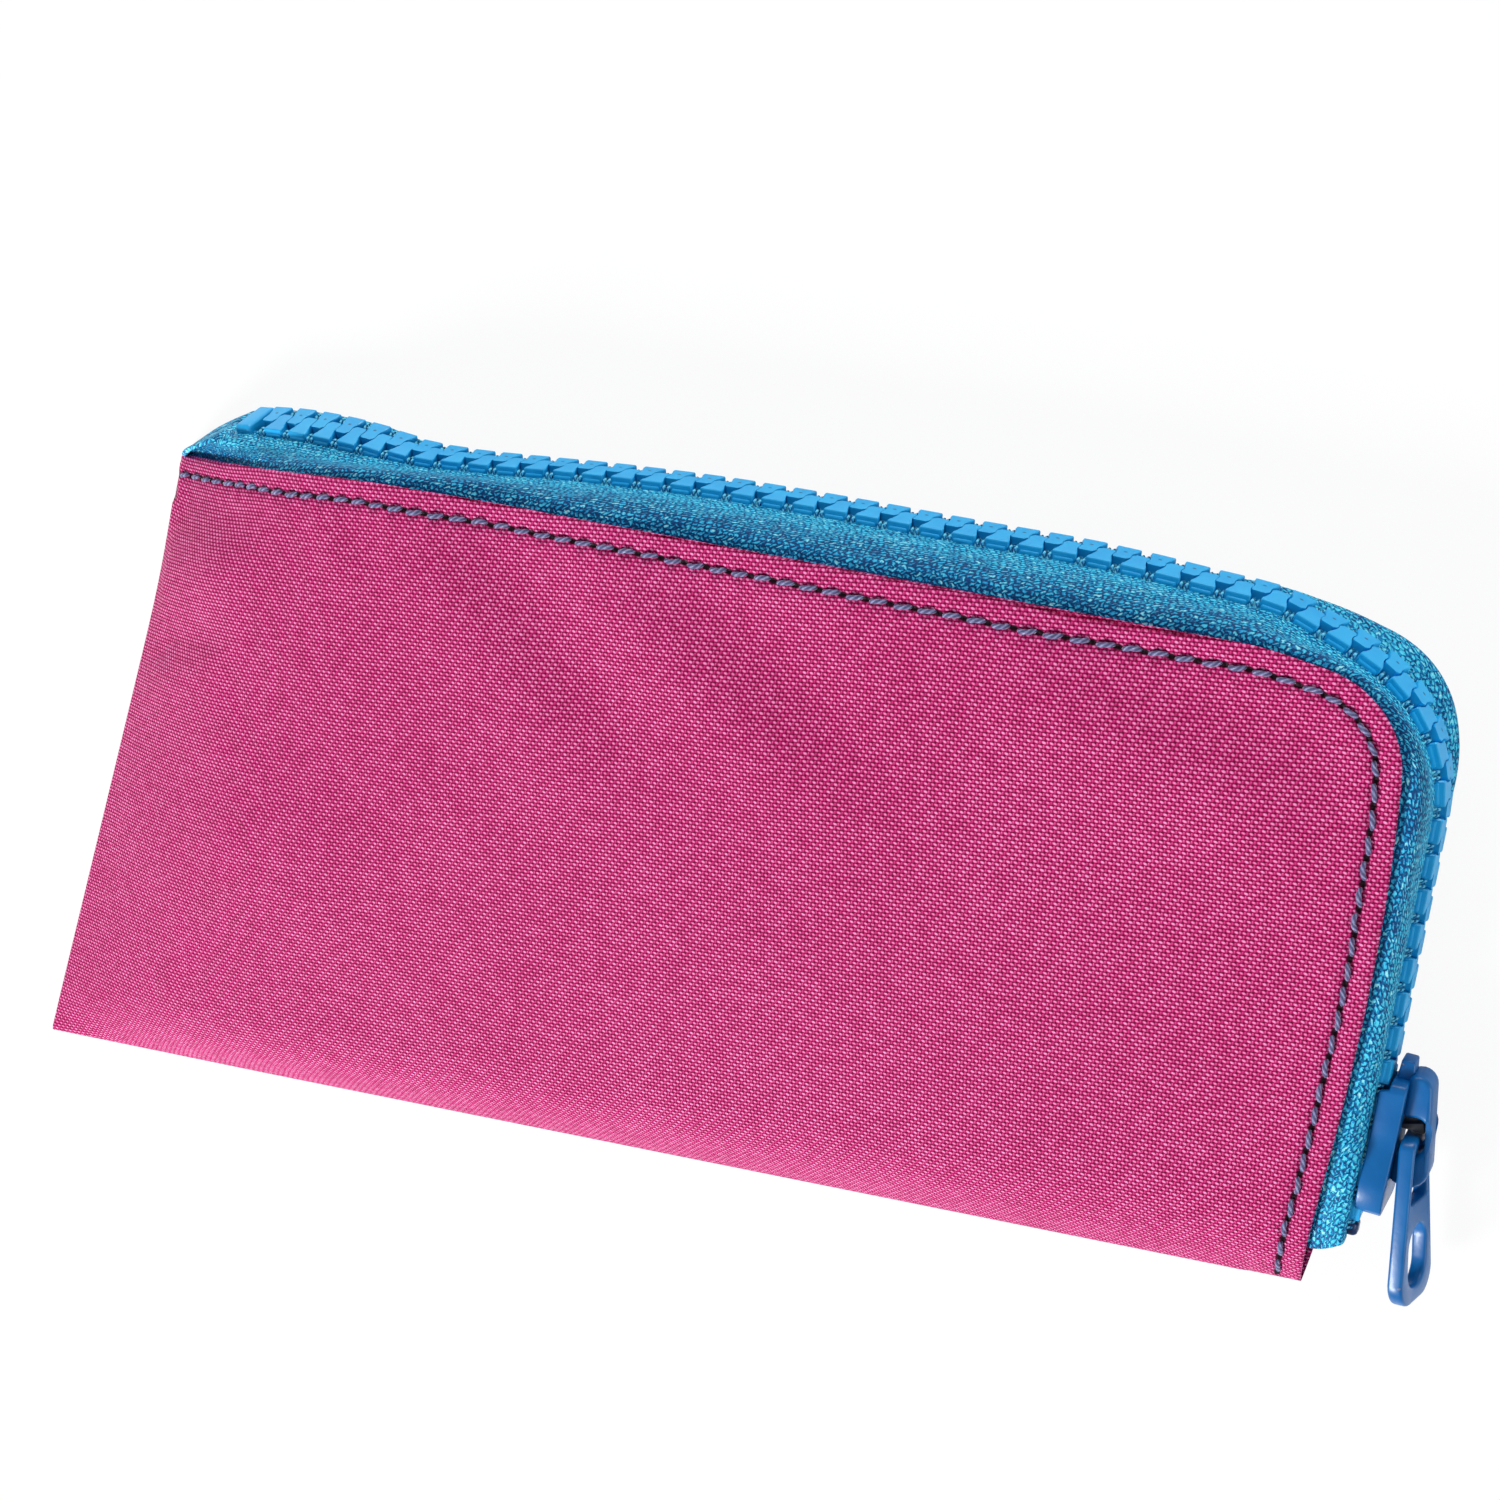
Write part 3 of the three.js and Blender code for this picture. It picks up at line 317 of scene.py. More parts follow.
class Gather:
    """Collects many small solids in one mesh."""

    def __init__(self):
        self.points, self.faces, self.uvs, self.count = [], [], [], 0

    def add(self, points, faces, uv=None):
        self.points.append(points)
        self.faces += [[int(v) + self.count for v in f] for f in faces]
        self.uvs.append(np.zeros((len(points), 2)) if uv is None else uv)
        self.count += len(points)

    def make(self, name, finish, node=None, smooth_shade=True):
        return make(name, np.vstack(self.points), self.faces, finish, node, {"run": np.vstack(self.uvs)}, smooth_shade)


# ---------------------------------------------------------------- materials
class Value:
    """A socket of a node tree. Arithmetic with it becomes nodes."""

    def __init__(self, nodes, socket):
        self.nodes, self.socket = nodes, socket

    def __add__(self, other):
        return self.nodes.math("ADD", self, other)

    def __sub__(self, other):
        return self.nodes.math("SUBTRACT", self, other)

    def __mul__(self, other):
        return self.nodes.math("MULTIPLY", self, other)

    def __truediv__(self, other):
        return self.nodes.math("DIVIDE", self, other)

    def __pow__(self, other):
        return self.nodes.math("POWER", self, other)

    def __mod__(self, other):
        return self.nodes.math("FLOORED_MODULO", self, other)


class Nodes:
    """Short hand for building a node tree."""

    def __init__(self, owner):
        owner.use_nodes = True
        self.tree = owner.node_tree
        self.tree.nodes.clear()

    def node(self, kind, **values):
        n = self.tree.nodes.new(kind)
        for key, value in values.items():
            setattr(n, key, value)
        return n

    def put(self, socket, value):
        if isinstance(value, Value):
            self.tree.links.new(value.socket, socket)
        elif value is not None:
            socket.default_value = value

    def fed(self, n, values, output=0):
        """A node's output, once its first inputs have their values."""
        for socket, value in zip(n.inputs, values):
            self.put(socket, value)
        return Value(self, n.outputs[output])

    def math(self, operation, *values, clamp=False):
        return self.fed(self.node("ShaderNodeMath", operation=operation, use_clamp=clamp), values)

    def rays(self, kind):
        return Value(self, self.node("ShaderNodeLightPath").outputs[f"Is {kind} Ray"])

    def uv(self, layer):
        split = self.node("ShaderNodeSeparateXYZ")
        x = self.fed(split, [Value(self, self.node("ShaderNodeUVMap", uv_map=layer).outputs[0])])
        return x, Value(self, split.outputs[1])

    def join(self, x, y, z=0.0):
        return self.fed(self.node("ShaderNodeCombineXYZ"), (x, y, z))

    def spot(self):
        return Value(self, self.node("ShaderNodeTexCoord").outputs["Object"])

    def noise(self, vector, scale, detail=2.0, rough=0.5):
        n = self.node("ShaderNodeTexNoise", noise_dimensions="3D")
        for name, value in (("Vector", vector), ("Scale", scale), ("Detail", detail), ("Roughness", rough)):
            self.put(n.inputs[name], value)
        return Value(self, n.outputs[0])

    def white(self, *place):
        n = self.node("ShaderNodeTexWhiteNoise", noise_dimensions="3D")
        self.put(n.inputs["Vector"], self.join(*place))
        return Value(self, n.outputs["Value"])

    def ramp(self, fac, low, high, to_low=0.0, to_high=1.0, soft=False):
        n = self.node("ShaderNodeMapRange", interpolation_type="SMOOTHSTEP" if soft else "LINEAR")
        return self.fed(n, (fac, low, high, to_low, to_high))

    def mix(self, fac, a, b):
        n = self.node("ShaderNodeMix", data_type="RGBA", blend_type="MIX")
        for k, value in ((0, fac), (6, a), (7, b)):
            self.put(n.inputs[k], (*value, 1.0) if isinstance(value, tuple) else value)
        return Value(self, n.outputs[2])

    def bump(self, height, distance, strength, normal=None):
        n = self.node("ShaderNodeBump")
        for name, value in (("Height", height), ("Distance", distance), ("Strength", strength), ("Normal", normal)):
            self.put(n.inputs[name], value)
        return Value(self, n.outputs[0])

    def oval(self, a, b, wide, tall, power=2.0):
        """0 at the middle of an oval, 1 on its rim."""
        return self.math("ABSOLUTE", a / wide) ** power + self.math("ABSOLUTE", b / tall) ** power

    def dome(self, near):
        return self.math("SQRT", self.math("SUBTRACT", 1.0, near, clamp=True))

    def cell(self, u, v):
        """Staggered cells: place in the cell, and the cell's column and row."""
        row = self.math("FLOOR", v)
        shifted = u + row % 2.0 * 0.5
        return (self.math("FRACT", shifted) - 0.5, self.math("FRACT", v) - 0.5, self.math("FLOOR", shifted), row)


class Shader(Nodes):
    SOCKETS = dict(color="Base Color", rough="Roughness", normal="Normal", sheen="Sheen Weight",
                   sheen_rough="Sheen Roughness", specular="Specular IOR Level", coat="Coat Weight",
                   coat_rough="Coat Roughness", alpha="Alpha")

    def __init__(self, name):
        self.material = bpy.data.materials.new(name)
        super().__init__(self.material)
        self.out = self.node("ShaderNodeOutputMaterial")
        self.body = self.node("ShaderNodeBsdfPrincipled")
        self.tree.links.new(self.body.outputs[0], self.out.inputs["Surface"])

    def set(self, **values):
        for key, value in values.items():
            self.put(self.body.inputs[self.SOCKETS[key]], value)
        return self.material


def srgb(r, g, b):
    c = np.array([r, g, b]) / 255.0
    return tuple(float(v) for v in np.where(c <= 0.04045, c / 12.92, ((c + 0.055) / 1.055) ** 2.4))


STITCH, INSET = 3.1, 2.8


def woven(name, dark, middle, light):
    """Staggered oval floats of a heavy plain weave, one cell of the map to a float, with painted highlight on the
    floats, painted shade between them and on their lower edges, and the hem's needle holes darkened with painted
    shade.
    """
    s = Shader(name)
    u, v = s.uv("weave")
    u = u + (s.noise(s.join(u * 0.11, v * 0.06), 1.0, 3.0) - 0.5) * 0.35
    fu, fv, column, row = s.cell(u, v)
    chance, chance2 = s.white(column, row), s.white(row, column, 3.0)
    lean = fv + fu * 0.42
    weft = s.dome(s.oval(fu, lean, chance * 0.05 + 0.35, 0.47, 2.2))
    across = s.math("SUBTRACT", 0.5, s.math("ABSOLUTE", fu))
    warp = s.dome(s.oval(across, fv, 0.25, 0.6, 2.2)) * 0.66
    height = s.math("MAXIMUM", weft, warp)
    hairs = s.noise(s.join(u * 2.2, v * 9.0), 3.0)
    soft = (hairs - 0.5) * 0.35 + height
    # painted light: the floats' tops are painted light as painted highlight and the gaps dark as painted shade, and
    # lean paints each float lighter above and darker at its lower edge as painted shade; chance2 and the noise are
    # random tone
    tone_and_shade = soft * 0.9 + (chance2 - 0.5) * 0.12 + (s.noise(s.spot(), 30.0) - 0.5) * 0.08 + lean * 0.42
    color = s.mix(s.ramp(tone_and_shade, 0.24, 0.66), dark, middle)
    color = s.mix(s.ramp(tone_and_shade, 0.66, 1.06), color, light)
    # painted shade: each needle hole is painted near black, and the valley under the thread a darker pink
    run, inset = s.uv("hem")
    beat = s.math("FRACT", run + 0.5) - 0.5
    hole = s.ramp((beat / 0.21) ** 2.0 + ((inset - INSET) / 0.4) ** 2.0, 0.35, 1.25, 1.0, 0.0, True)
    trench_shade = s.ramp(s.math("ABSOLUTE", inset - INSET), 0.1, 0.75, 0.42, 0.0, True)
    color = s.mix(hole, s.mix(trench_shade, color, srgb(120, 20, 66)), srgb(26, 6, 20))
    normal = s.bump(height - hole * 1.6, 0.00018, 0.9)
    return s.set(color=color, rough=s.ramp(height, 0.0, 1.0, 0.8, 0.46), normal=normal, specular=0.12)


def knitted(name, dark, middle, light, glint):
    """Fine staggered loops of a zip tape, with painted highlight on the loop tops and painted glints, painted shade
    between the loops and at one end of each, and painted shade that darkens it towards the hem.
    """
    s = Shader(name)
    u, v = s.uv("run")
    off = (s.noise(s.join(u * 0.35, v * 0.35), 1.0, 3.0) - 0.5) * 1.6
    jig, jag = s.noise(s.join(u, v), 1.9), s.noise(s.join(v, u, 7.0), 1.7)
    cu = u / 0.82 + off + (jig - 0.5) * 1.5
    cv = v / 0.56 + off * 0.7 + (jag - 0.5) * 1.5
    fu, fv, column, row = s.cell(cu, cv)
    chance = s.white(column, row, 1.0)
    sway = fv + fu * (row % 2.0 * 1.1 - 0.6)
    height = s.dome(s.oval(fu, sway, 0.46, 0.42))
    rough = s.noise(s.join(u, v), 2.6, 4.0, 0.65)
    # painted light: loop tops lighter and gaps darker (height), each loop lighter at one end and darker at the other
    # (sway), and painted shade darkening the tape towards the hem (the ramp of v); rough and chance are random tone
    tone_and_shade = height * 0.6 + rough * 0.42 + (chance - 0.5) * 0.3 + sway * 0.22 + s.ramp(v, 3.0, 8.5, 0.06, -0.16)
    color = s.mix(s.ramp(tone_and_shade, 0.14, 0.46), dark, middle)
    color = s.mix(s.ramp(tone_and_shade, 0.4, 0.8), color, light)
    # painted glints on the tops of some loops
    color = s.mix(s.ramp(chance, 0.8, 0.95) * s.ramp(height, 0.7, 1.0) * 0.8, color, glint)
    return s.set(color=color, rough=0.55, normal=s.bump(height + rough * 0.4, 0.00022, 0.95), specular=0.2)


def plastic(name, color, lighter, rough=0.34, grain=0.00002, coat=0.0, chipped=None, dimple_shade=None, shine=0.5):
    """Moulded plastic or enamel, with worn edges, or a pit in each tooth darkened with painted shade, where they are
    asked for.
    """
    s = Shader(name)
    spot = s.spot()
    cloud = s.noise(spot, 260.0, 3.0)
    shade = s.mix(s.ramp(cloud, 0.3, 0.75), color, lighter)
    if chipped:
        chips = s.ramp(s.noise(spot, 620.0, 2.0, 0.6), 0.735, 0.765)
        edge = Value(s, s.node("ShaderNodeNewGeometry").outputs["Pointiness"])
        shade = s.mix(s.ramp(edge, 0.52, 0.58) * chips, shade, chipped)
    normal = s.bump(s.noise(spot, 1500.0, 3.0), grain, 0.5)
    if dimple_shade:
        # painted shade: the pit in each back tooth is painted dark navy
        x, y = s.uv("run")
        pit = s.ramp((x / 0.27) ** 2.0 + ((y - 1.15) / 0.2) ** 2.0, 0.4, 1.3, 1.0, 0.0)
        shade = s.mix(pit * 0.8, shade, dimple_shade)
        normal = s.bump(pit, 0.0002, -1.0, normal)
    return s.set(color=shade, rough=s.ramp(cloud, 0.2, 0.8, rough - 0.05, rough + 0.08), normal=normal,
                 specular=shine, coat=coat, coat_rough=0.12)


def strands(name, color, light, glint):
    """A laid thread: three strands and their fibres, with painted shade between the strands and painted glints on
    them.
    """
    s = Shader(name)
    u, v = s.uv("run")
    lay = s.math("SINE", v * (2 * np.pi * 3) + u * -7.5)
    fibre = s.noise(s.join(u * 3.0, v * 30.0), 1.0, 3.0, 0.6)
    # the strands' crests are painted light and the grooves between them dark, as painted shade, with painted glints on
    # the brightest; the fibre noise is random tone
    tone_and_shade = lay * 0.3 + fibre
    shade = s.mix(s.ramp(tone_and_shade, 0.25, 0.75), color, light)
    shade = s.mix(s.ramp(tone_and_shade, 0.78, 0.98), shade, glint)
    normal = s.bump(lay + fibre * 0.6, 0.00006, 0.8)
    return s.set(color=shade, rough=0.5, normal=normal, sheen=0.3, sheen_rough=0.35, specular=0.35)


def ribbed(name, dark, light, across, along):
    """A fine plain cloth or ribbed tape."""
    s = Shader(name)
    u, v = s.uv("run")
    height = s.math("SINE", u * (2 * np.pi / along)) * 0.5 + s.math("SINE", v * (2 * np.pi / across)) * 0.5
    rough = s.noise(s.join(u, v), 1.3, 4.0, 0.6)
    # the rib crests are painted lighter than the grooves between them, as painted shade
    shade = s.mix(s.ramp(height * 0.4 + rough, 0.1, 1.0), dark, light)
    normal = s.bump(height + rough, 0.00012, 0.8)
    return s.set(color=shade, rough=0.78, normal=normal, sheen=0.2, sheen_rough=0.5, specular=0.25)


def net(name, color, light):
    """Open mesh: staggered round holes cut by the alpha."""
    s = Shader(name)
    u, v = s.uv("run")
    fu, fv, _, _ = s.cell(u / 1.5, v / 1.05)
    near = s.oval(fu, fv, 0.36, 0.36)
    shade = s.mix(s.noise(s.join(u, v), 4.0), color, light)
    return s.set(color=shade, rough=0.6, alpha=s.ramp(near, 0.85, 1.1), normal=s.bump(near, 0.00008, 0.6),
                 specular=0.3)


# each finish: its material, and the record's slot that it takes
# the pink's dark colour is painted shade in the weave's gaps, and its light colour painted highlight on the floats
PINK = woven("woven_pink", srgb(108, 0, 52), srgb(212, 40, 122), srgb(255, 178, 230)), "cloth"
# the tape's light and glint colours are painted highlight on its loops
TAPE = knitted("knitted_tape", srgb(0, 64, 120), srgb(0, 146, 214), srgb(84, 224, 255), srgb(180, 246, 255)), "tape"
# the cord and its loops take a lighter copy of the tape's knit, as painted highlight
CORD_HIGHLIT = knitted("tape_edge_highlit", srgb(0, 84, 150), srgb(30, 160, 222), srgb(120, 224, 250), srgb(200, 246, 255)), "tape"
# the teeth's dark navy is painted shade in the pit of each back tooth
TEETH = plastic("moulded_teeth", srgb(14, 168, 234), srgb(32, 180, 240), dimple_shade=srgb(0, 62, 118)), "teeth"
# near-black steel for the crown's spring, which stands in for the shade inside the eye: painted shade
STEEL_EYE_SHADE = plastic("dark_steel_eye_shade", srgb(20, 24, 30), srgb(34, 40, 50), 0.35), "enamel"
STOP = plastic("dark_stop", srgb(8, 40, 86), srgb(12, 52, 104), 0.3), "dark_stop"
ENAMEL = plastic("blue_enamel", srgb(0, 90, 156), srgb(4, 100, 166), 0.34, 0.00003, 0.12, srgb(176, 138, 60),
                 shine=0.35), "enamel"
# the thread's glint colour is painted highlight
THREAD = strands("slate_thread", srgb(70, 74, 116), srgb(124, 128, 172), srgb(206, 208, 236)), "thread"
LINING = ribbed("lining_cloth", srgb(24, 26, 32), srgb(52, 56, 66), 0.35, 0.35), "lining"
BINDING = ribbed("binding_tape", srgb(16, 17, 22), srgb(44, 46, 54), 0.3, 0.8), "binding"
MESH = net("pocket_mesh", srgb(22, 24, 30), srgb(50, 54, 62)), "mesh"
ELASTIC = ribbed("ribbed_elastic", srgb(14, 14, 18), srgb(48, 48, 56), 1.1, 0.5), "elastic"


# ---------------------------------------------------------------- camera, light and floor
def stand(name, data, axes, at):
    """A camera or lamp with its right, up and backward axes."""
    ob = bpy.data.objects.new(name, data)
    scene.collection.objects.link(ob)
    ob.matrix_world = Matrix([[axis[k] for axis in axes] + [at[k]] for k in range(3)] + [[0, 0, 0, 1]])
    return ob


def lamp(name, at, towards, size, power):
    data = bpy.data.lights.new(name, "AREA")
    data.size = size
    data.energy = power
    away = unit(np.array(at, float) - np.array(towards, float))
    side = unit(np.cross([0, 0, 1.0], away) + 1e-9)
    stand(name, data, (side, np.cross(away, side), away), at)


lens = bpy.data.cameras.new("camera")
lens.sensor_width, lens.lens, lens.clip_start = 36.0, 58.8, 0.01
CAMERA_AXES = (0.912, 0.0467, -0.4074), (-0.117, 0.9819, -0.1493), (0.3931, 0.1838, 0.9009)
scene.camera = stand("camera", lens, CAMERA_AXES, (0.14705, 0.07318, 0.29541))
scene.view_settings.view_transform = "Standard"

WORLD_LIGHT, WORLD_GLOSS = 0.208, 0.36
scene.world = bpy.data.worlds.new("studio")
sky = Nodes(scene.world)
seen = sky.math("MAXIMUM", sky.rays("Camera"), sky.rays("Transmission"))
seen = sky.math("MAXIMUM", seen, sky.rays("Glossy") * WORLD_GLOSS)
back = sky.fed(sky.node("ShaderNodeBackground"), [(1, 1, 1, 1), sky.math("MAXIMUM", seen, WORLD_LIGHT)])
sky.put(sky.node("ShaderNodeOutputWorld").inputs[0], back)

lamp("key", (-0.38, -0.62, 0.60), (0, 0, 0.01), 0.24, 11.2)
lamp("rear", (0.02, 0.97, 0.3), (0, 0.04, 0.01), 0.5, 6.0)
lamp("right", (0.62, -0.1, 0.3), (0.1, 0, 0.01), 0.3, 1.2)

FLOOR, FLOOR_PALE, FLOOR_GLOW = 4, 0.93, 0.93
floor_mesh = bpy.data.meshes.new("floor")
floor_mesh.from_pydata([(-FLOOR, -FLOOR, 0), (FLOOR, -FLOOR, 0), (FLOOR, FLOOR, 0), (-FLOOR, FLOOR, 0)], [],
                       [(0, 1, 2, 3)])
floor = bpy.data.objects.new("floor", floor_mesh)
scene.collection.objects.link(floor)
ground = Shader("white_floor")
ground.set(color=(FLOOR_PALE, FLOOR_PALE, FLOOR_PALE, 1.0), rough=0.9, specular=0.1)
glow = ground.node("ShaderNodeEmission")
surface = ground.fed(ground.node("ShaderNodeMixShader"), [
    ground.rays("Camera") * FLOOR_GLOW, Value(ground, ground.body.outputs[0]), Value(ground, glow.outputs[0])])
ground.put(ground.out.inputs["Surface"], surface)
floor_mesh.materials.append(ground.material)

# ---------------------------------------------------------------- woven panels
HEM_ROWS = [0.05, 0.14, 0.28, 0.5, 0.85, 1.3, 1.8, 2.2, 2.5, 2.8, 3.1, 3.4, 3.8, 4.4, 5.3, 6.4]
SEAM_ROWS = [0.05, 0.16, 0.34, 0.65, 1.0, 1.5, 2.1, 3.0, 4.2]
HEM_STEP, SEAM_STEP, INTERIOR = STITCH / 8, 0.8, 1.15
WEAVE_WIDE, WEAVE_TALL = 0.917, 0.494
HEM_R, SEAM_R = 0.5, 0.68


def plan_mesh():
    """Points of a panel in plan, closest beside its edges, and their triangles."""
    columns = np.arange(0, hem.length, HEM_STEP)
    outline, rings = [hem.at(columns)], []
    for d in HEM_ROWS:
        p = hem.at(columns) + right_of(hem.tangent(columns)) * d
        rings.append(p[(from_left(*p.T) > 0.4) & (from_bottom(*p.T) > 0.4)])
    for path in (bottom_seam, left_seam):
        s = np.arange(0, path.length, SEAM_STEP)
        outline.append(path.at(s))
        for d in SEAM_ROWS:
            p = path.at(s) + right_of(path.tangent(s)) * d
            clear = from_left(*p.T) > d if path is bottom_seam else from_bottom(*p.T) > 0.5
            rings.append(p[(from_hem(*p.T)[1] > 6.6) & clear])
    outline = np.vstack(outline)
    x, y = np.meshgrid(np.arange(-99, 108, INTERIOR), np.arange(-1, 95, INTERIOR * 0.866))
    x = x + (np.arange(x.shape[0]) % 2)[:, None] * INTERIOR / 2
    p = np.stack([x.ravel(), y.ravel()], -1)
    p = p[inside(p, outline)]
    p = p[(from_hem(*p.T)[1] > 7.0) & (from_left(*p.T) > 4.9) & (from_bottom(*p.T) > 4.9)]
    n = len(outline)
    edges = [(k, (k + 1) % n) for k in range(n)]
    every = [tuple(v) for v in np.vstack([outline] + rings + [p])]
    verts, _, faces, _, _, _ = delaunay_2d_cdt(every, edges, [], 1, 1e-5, False)
    return np.array([tuple(v) for v in verts]), np.array([tuple(f) for f in faces])


def boundary_of(faces):
    edges = np.concatenate([faces[:, [0, 1]], faces[:, [1, 2]], faces[:, [2, 0]]])
    _, first, counts = np.unique(np.sort(edges, axis=1), axis=0, return_index=True, return_counts=True)
    return np.unique(edges[first[counts == 1]])


def cloth_lengths(x, y, step=2.0):
    """Lengths over the front's cloth across and up, so that the weave keeps its size on slopes."""
    xs, ys = np.arange(-104, 112, step), np.arange(-6, 98, step)
    gx, gy = np.meshgrid(xs, ys, indexing="ij")
    within = (from_left(gx, gy) > -1) & (from_bottom(gx, gy) > -1)
    z = front_height(gx, gy)
    i = np.clip((x - xs[0]) / step, 0, len(xs) - 1.001)
    j = np.clip((y - ys[0]) / step, 0, len(ys) - 1.001)
    i0, j0 = i.astype(int), j.astype(int)
    a, b = i - i0, j - j0
    found = []
    for axis, steepest in ((0, 1.5), (1, 1.0)):
        slope = np.clip(np.gradient(z, step, axis=axis), -steepest, steepest)
        run = np.cumsum(np.where(within, np.sqrt(1 + slope**2), 1.0), axis=axis) * step
        run = run - np.take(run, [run.shape[axis] // 2], axis)
        found.append(run[i0, j0] * (1 - a) * (1 - b) + run[i0 + 1, j0] * a * (1 - b)
                     + run[i0, j0 + 1] * (1 - a) * b + run[i0 + 1, j0 + 1] * a * b)
    return found


plan, plan_faces = plan_mesh()
edge_points = boundary_of(plan_faces)
px, py = plan.T
hem_place, hem_far = from_hem(px, py)
seam_far = np.minimum(np.maximum(from_left(px, py), 0), np.maximum(from_bottom(px, py), 0))
over_x, over_y = cloth_lengths(px, py)
weave_map = np.stack([over_x / WEAVE_WIDE, over_y / WEAVE_TALL], -1)
hem_map = np.stack([hem_place / STITCH, hem_far], -1)
OFF_HEM = 90.0  # a hem distance without the needle holes or their painted shade, for the inner face


def rounding(d, r):
    return r * (1 - np.sqrt(np.clip(1 - np.clip(1 - d / r, 0, 1) ** 2, 0, 1)))


def hem_work(place, d):
    """How the stitching draws the cloth in: a valley under the thread, a pit at each needle hole, puckers."""
    beat = place / STITCH
    phase = (beat + 0.5) % 1 - 0.5
    inset = d - INSET
    valley = -0.2 * bell(inset, 0.55)
    pit = -0.34 * bell(phase * STITCH, 0.42) * bell(inset, 0.36)
    pucker = 0.07 * np.cos(2 * np.pi * beat) * bell(inset, 1.6)
    roll = 0.12 * bell(d - 1.2, 0.9) + 0.1 * bell(d - 4.6, 1.3)
    return valley + pit + pucker + roll + 0.05 * np.sin(place / 4.7) * bell(d, 1.5)


def panel(side):
    thick = CLOTH + HEM_TURN * hem_share(px, py, hem_far)
    at_hem = hem_far < seam_far
    work = hem_work(hem_place, hem_far) * smooth(seam_far, 0.3, 2.5)
    turn_hem, turn_seam = rounding(hem_far, HEM_R), rounding(seam_far, SEAM_R)
    drop = np.maximum(turn_hem, turn_seam)
    bend = np.where(at_hem, turn_hem, -0.13 * turn_seam / SEAM_R)
    if side > 0:
        level = front_height(px, py)
        outer = level + work - drop
        inner = np.minimum(level - thick + bend, outer)
    else:
        level = back_height(px, py, hem_far)
        outer = level - work * 0.6 + drop
        inner = np.maximum(level + thick - bend, outer)
    outer[edge_points] = (level - side * np.where(at_hem, HEM_R, SEAM_R))[edge_points]
    # both faces share the points of the edge
    n = len(px)
    number = np.arange(n) + n
    number[edge_points] = edge_points
    keep = np.ones(2 * n, bool)
    keep[n + edge_points] = False
    new = np.cumsum(keep) - 1
    points = np.concatenate([np.stack([px, py, outer], -1), np.stack([px, py, inner], -1)])[keep]
    faces = plan_faces if side > 0 else plan_faces[:, ::-1]
    faces = np.concatenate([new[faces], new[number[faces]][:, ::-1]])
    maps = {"weave": np.concatenate([weave_map, weave_map])[keep],
            "hem": np.concatenate([hem_map, hem_map * [1, 0] + [0, OFF_HEM]])[keep]}
    return make(f"{SIDES[side]}_cloth", points, faces, PINK, f"{SIDES[side]}_panel", maps)


front_cloth = panel(1)
back_cloth = panel(-1)

# ---------------------------------------------------------------- stitching
THREAD_R, TWIST, SLANT = 0.28, 2.3, 0.34


def stitches(side):
    """One short laid strand for each stitch, sunk in its two needle holes."""
    height = front_height if side > 0 else back_height
    gather = Gather()
    t = np.linspace(0, 1, 15)
    hump = np.sin(np.pi * t) ** 0.5
    for k in range(int(hem.length / STITCH) + 1):
        wander = 0.12 * np.sin(k * 0.9) + 0.08 * rng.standard_normal()
        start = (k + 0.155 + 0.04 * rng.random()) * STITCH
        s = start + STITCH * (0.65 + 0.06 * rng.random()) * t
        if s[-1] > hem.length + 0.6 or s[0] < 0.1:
            continue
        off = INSET + wander * np.sin(np.pi * t) - SLANT * (t - 0.5)
        p = hem.at(s) + right_of(hem.tangent(s)) * off[:, None]
        z = height(p[:, 0], p[:, 1]) + side * (0.62 * hump - 0.38)
        radius = THREAD_R * np.clip(0.6 + 0.65 * hump, 0, 1.1)
        if side < 0:
            z = np.maximum(z, radius * 1.1)
        points, faces, uv = tube(np.column_stack([p, z]), radius, 12, TWIST + 0.3 * rng.random(), 3, 0.09)
        gather.add(points, faces, uv + [k * 3.7, 0])
    return gather.make(f"{SIDES[side]}_thread", THREAD, f"{SIDES[side]}_hem_stitching")


front_thread = stitches(1)
back_thread = stitches(-1)

# ---------------------------------------------------------------- the zip's line
LEAN = np.radians(5.85)
ZIP_START = np.array([*(BOTTOM_RIGHT + [5.35, 8.45]), 8.0])
SIDE_HIGH, CORNER_HIGH, TOP_HIGH = 60.15, 10.2, 10.8
corner_point = np.array([ZIP_START[0] + np.tan(LEAN) * (SIDE_HIGH - 8.45), BOTTOM_RIGHT[1] + SIDE_HIGH])
ZIP_RADIUS, ZIP_END = 18.0, np.radians(60.0)
zip_centre = corner_point + ZIP_RADIUS * np.array([-np.cos(LEAN), np.sin(LEAN)])
STAND_OFF, MOST_ROLL = 5.8, np.radians(32.0)
# along the top: share of the hem, then shares of STAND_OFF, TOP_HIGH and MOST_ROLL
LONG_RUN = np.array([
    [0.02, 0.44, 0.99, 0.44], [0.047, 0.61, 0.99, 0.44], [0.1, 0.78, 1.0, 0.44], [0.18, 0.92, 1.0, 0.44],
    [0.285, 0.91, 1.0, 0.44], [0.385, 0.91, 1.0, 0.42], [0.487, 0.86, 1.0, 0.4], [0.587, 0.7, 0.995, 0.4],
    [0.685, 0.5, 0.98, 0.46], [0.735, 0.48, 0.95, 0.6], [0.8, 0.74, 0.88, 1.0], [0.86, 0.92, 0.77, 1.0],
    [0.925, 0.95, 0.64, 0.8]])
turns = np.linspace(-LEAN, ZIP_END, 7)
zip_corner = np.column_stack([zip_centre[0] + ZIP_RADIUS * np.cos(turns), zip_centre[1] + ZIP_RADIUS * np.sin(turns),
                              CORNER_HIGH + 0.6 * np.linspace(0, 1, 7)])
zip_side = ZIP_START + (zip_corner[0] - ZIP_START) * np.linspace(0, 1, 8, endpoint=False)[:, None]
hem_at = top_hem.at((1 - LONG_RUN[:, 0]) * top_hem.length)
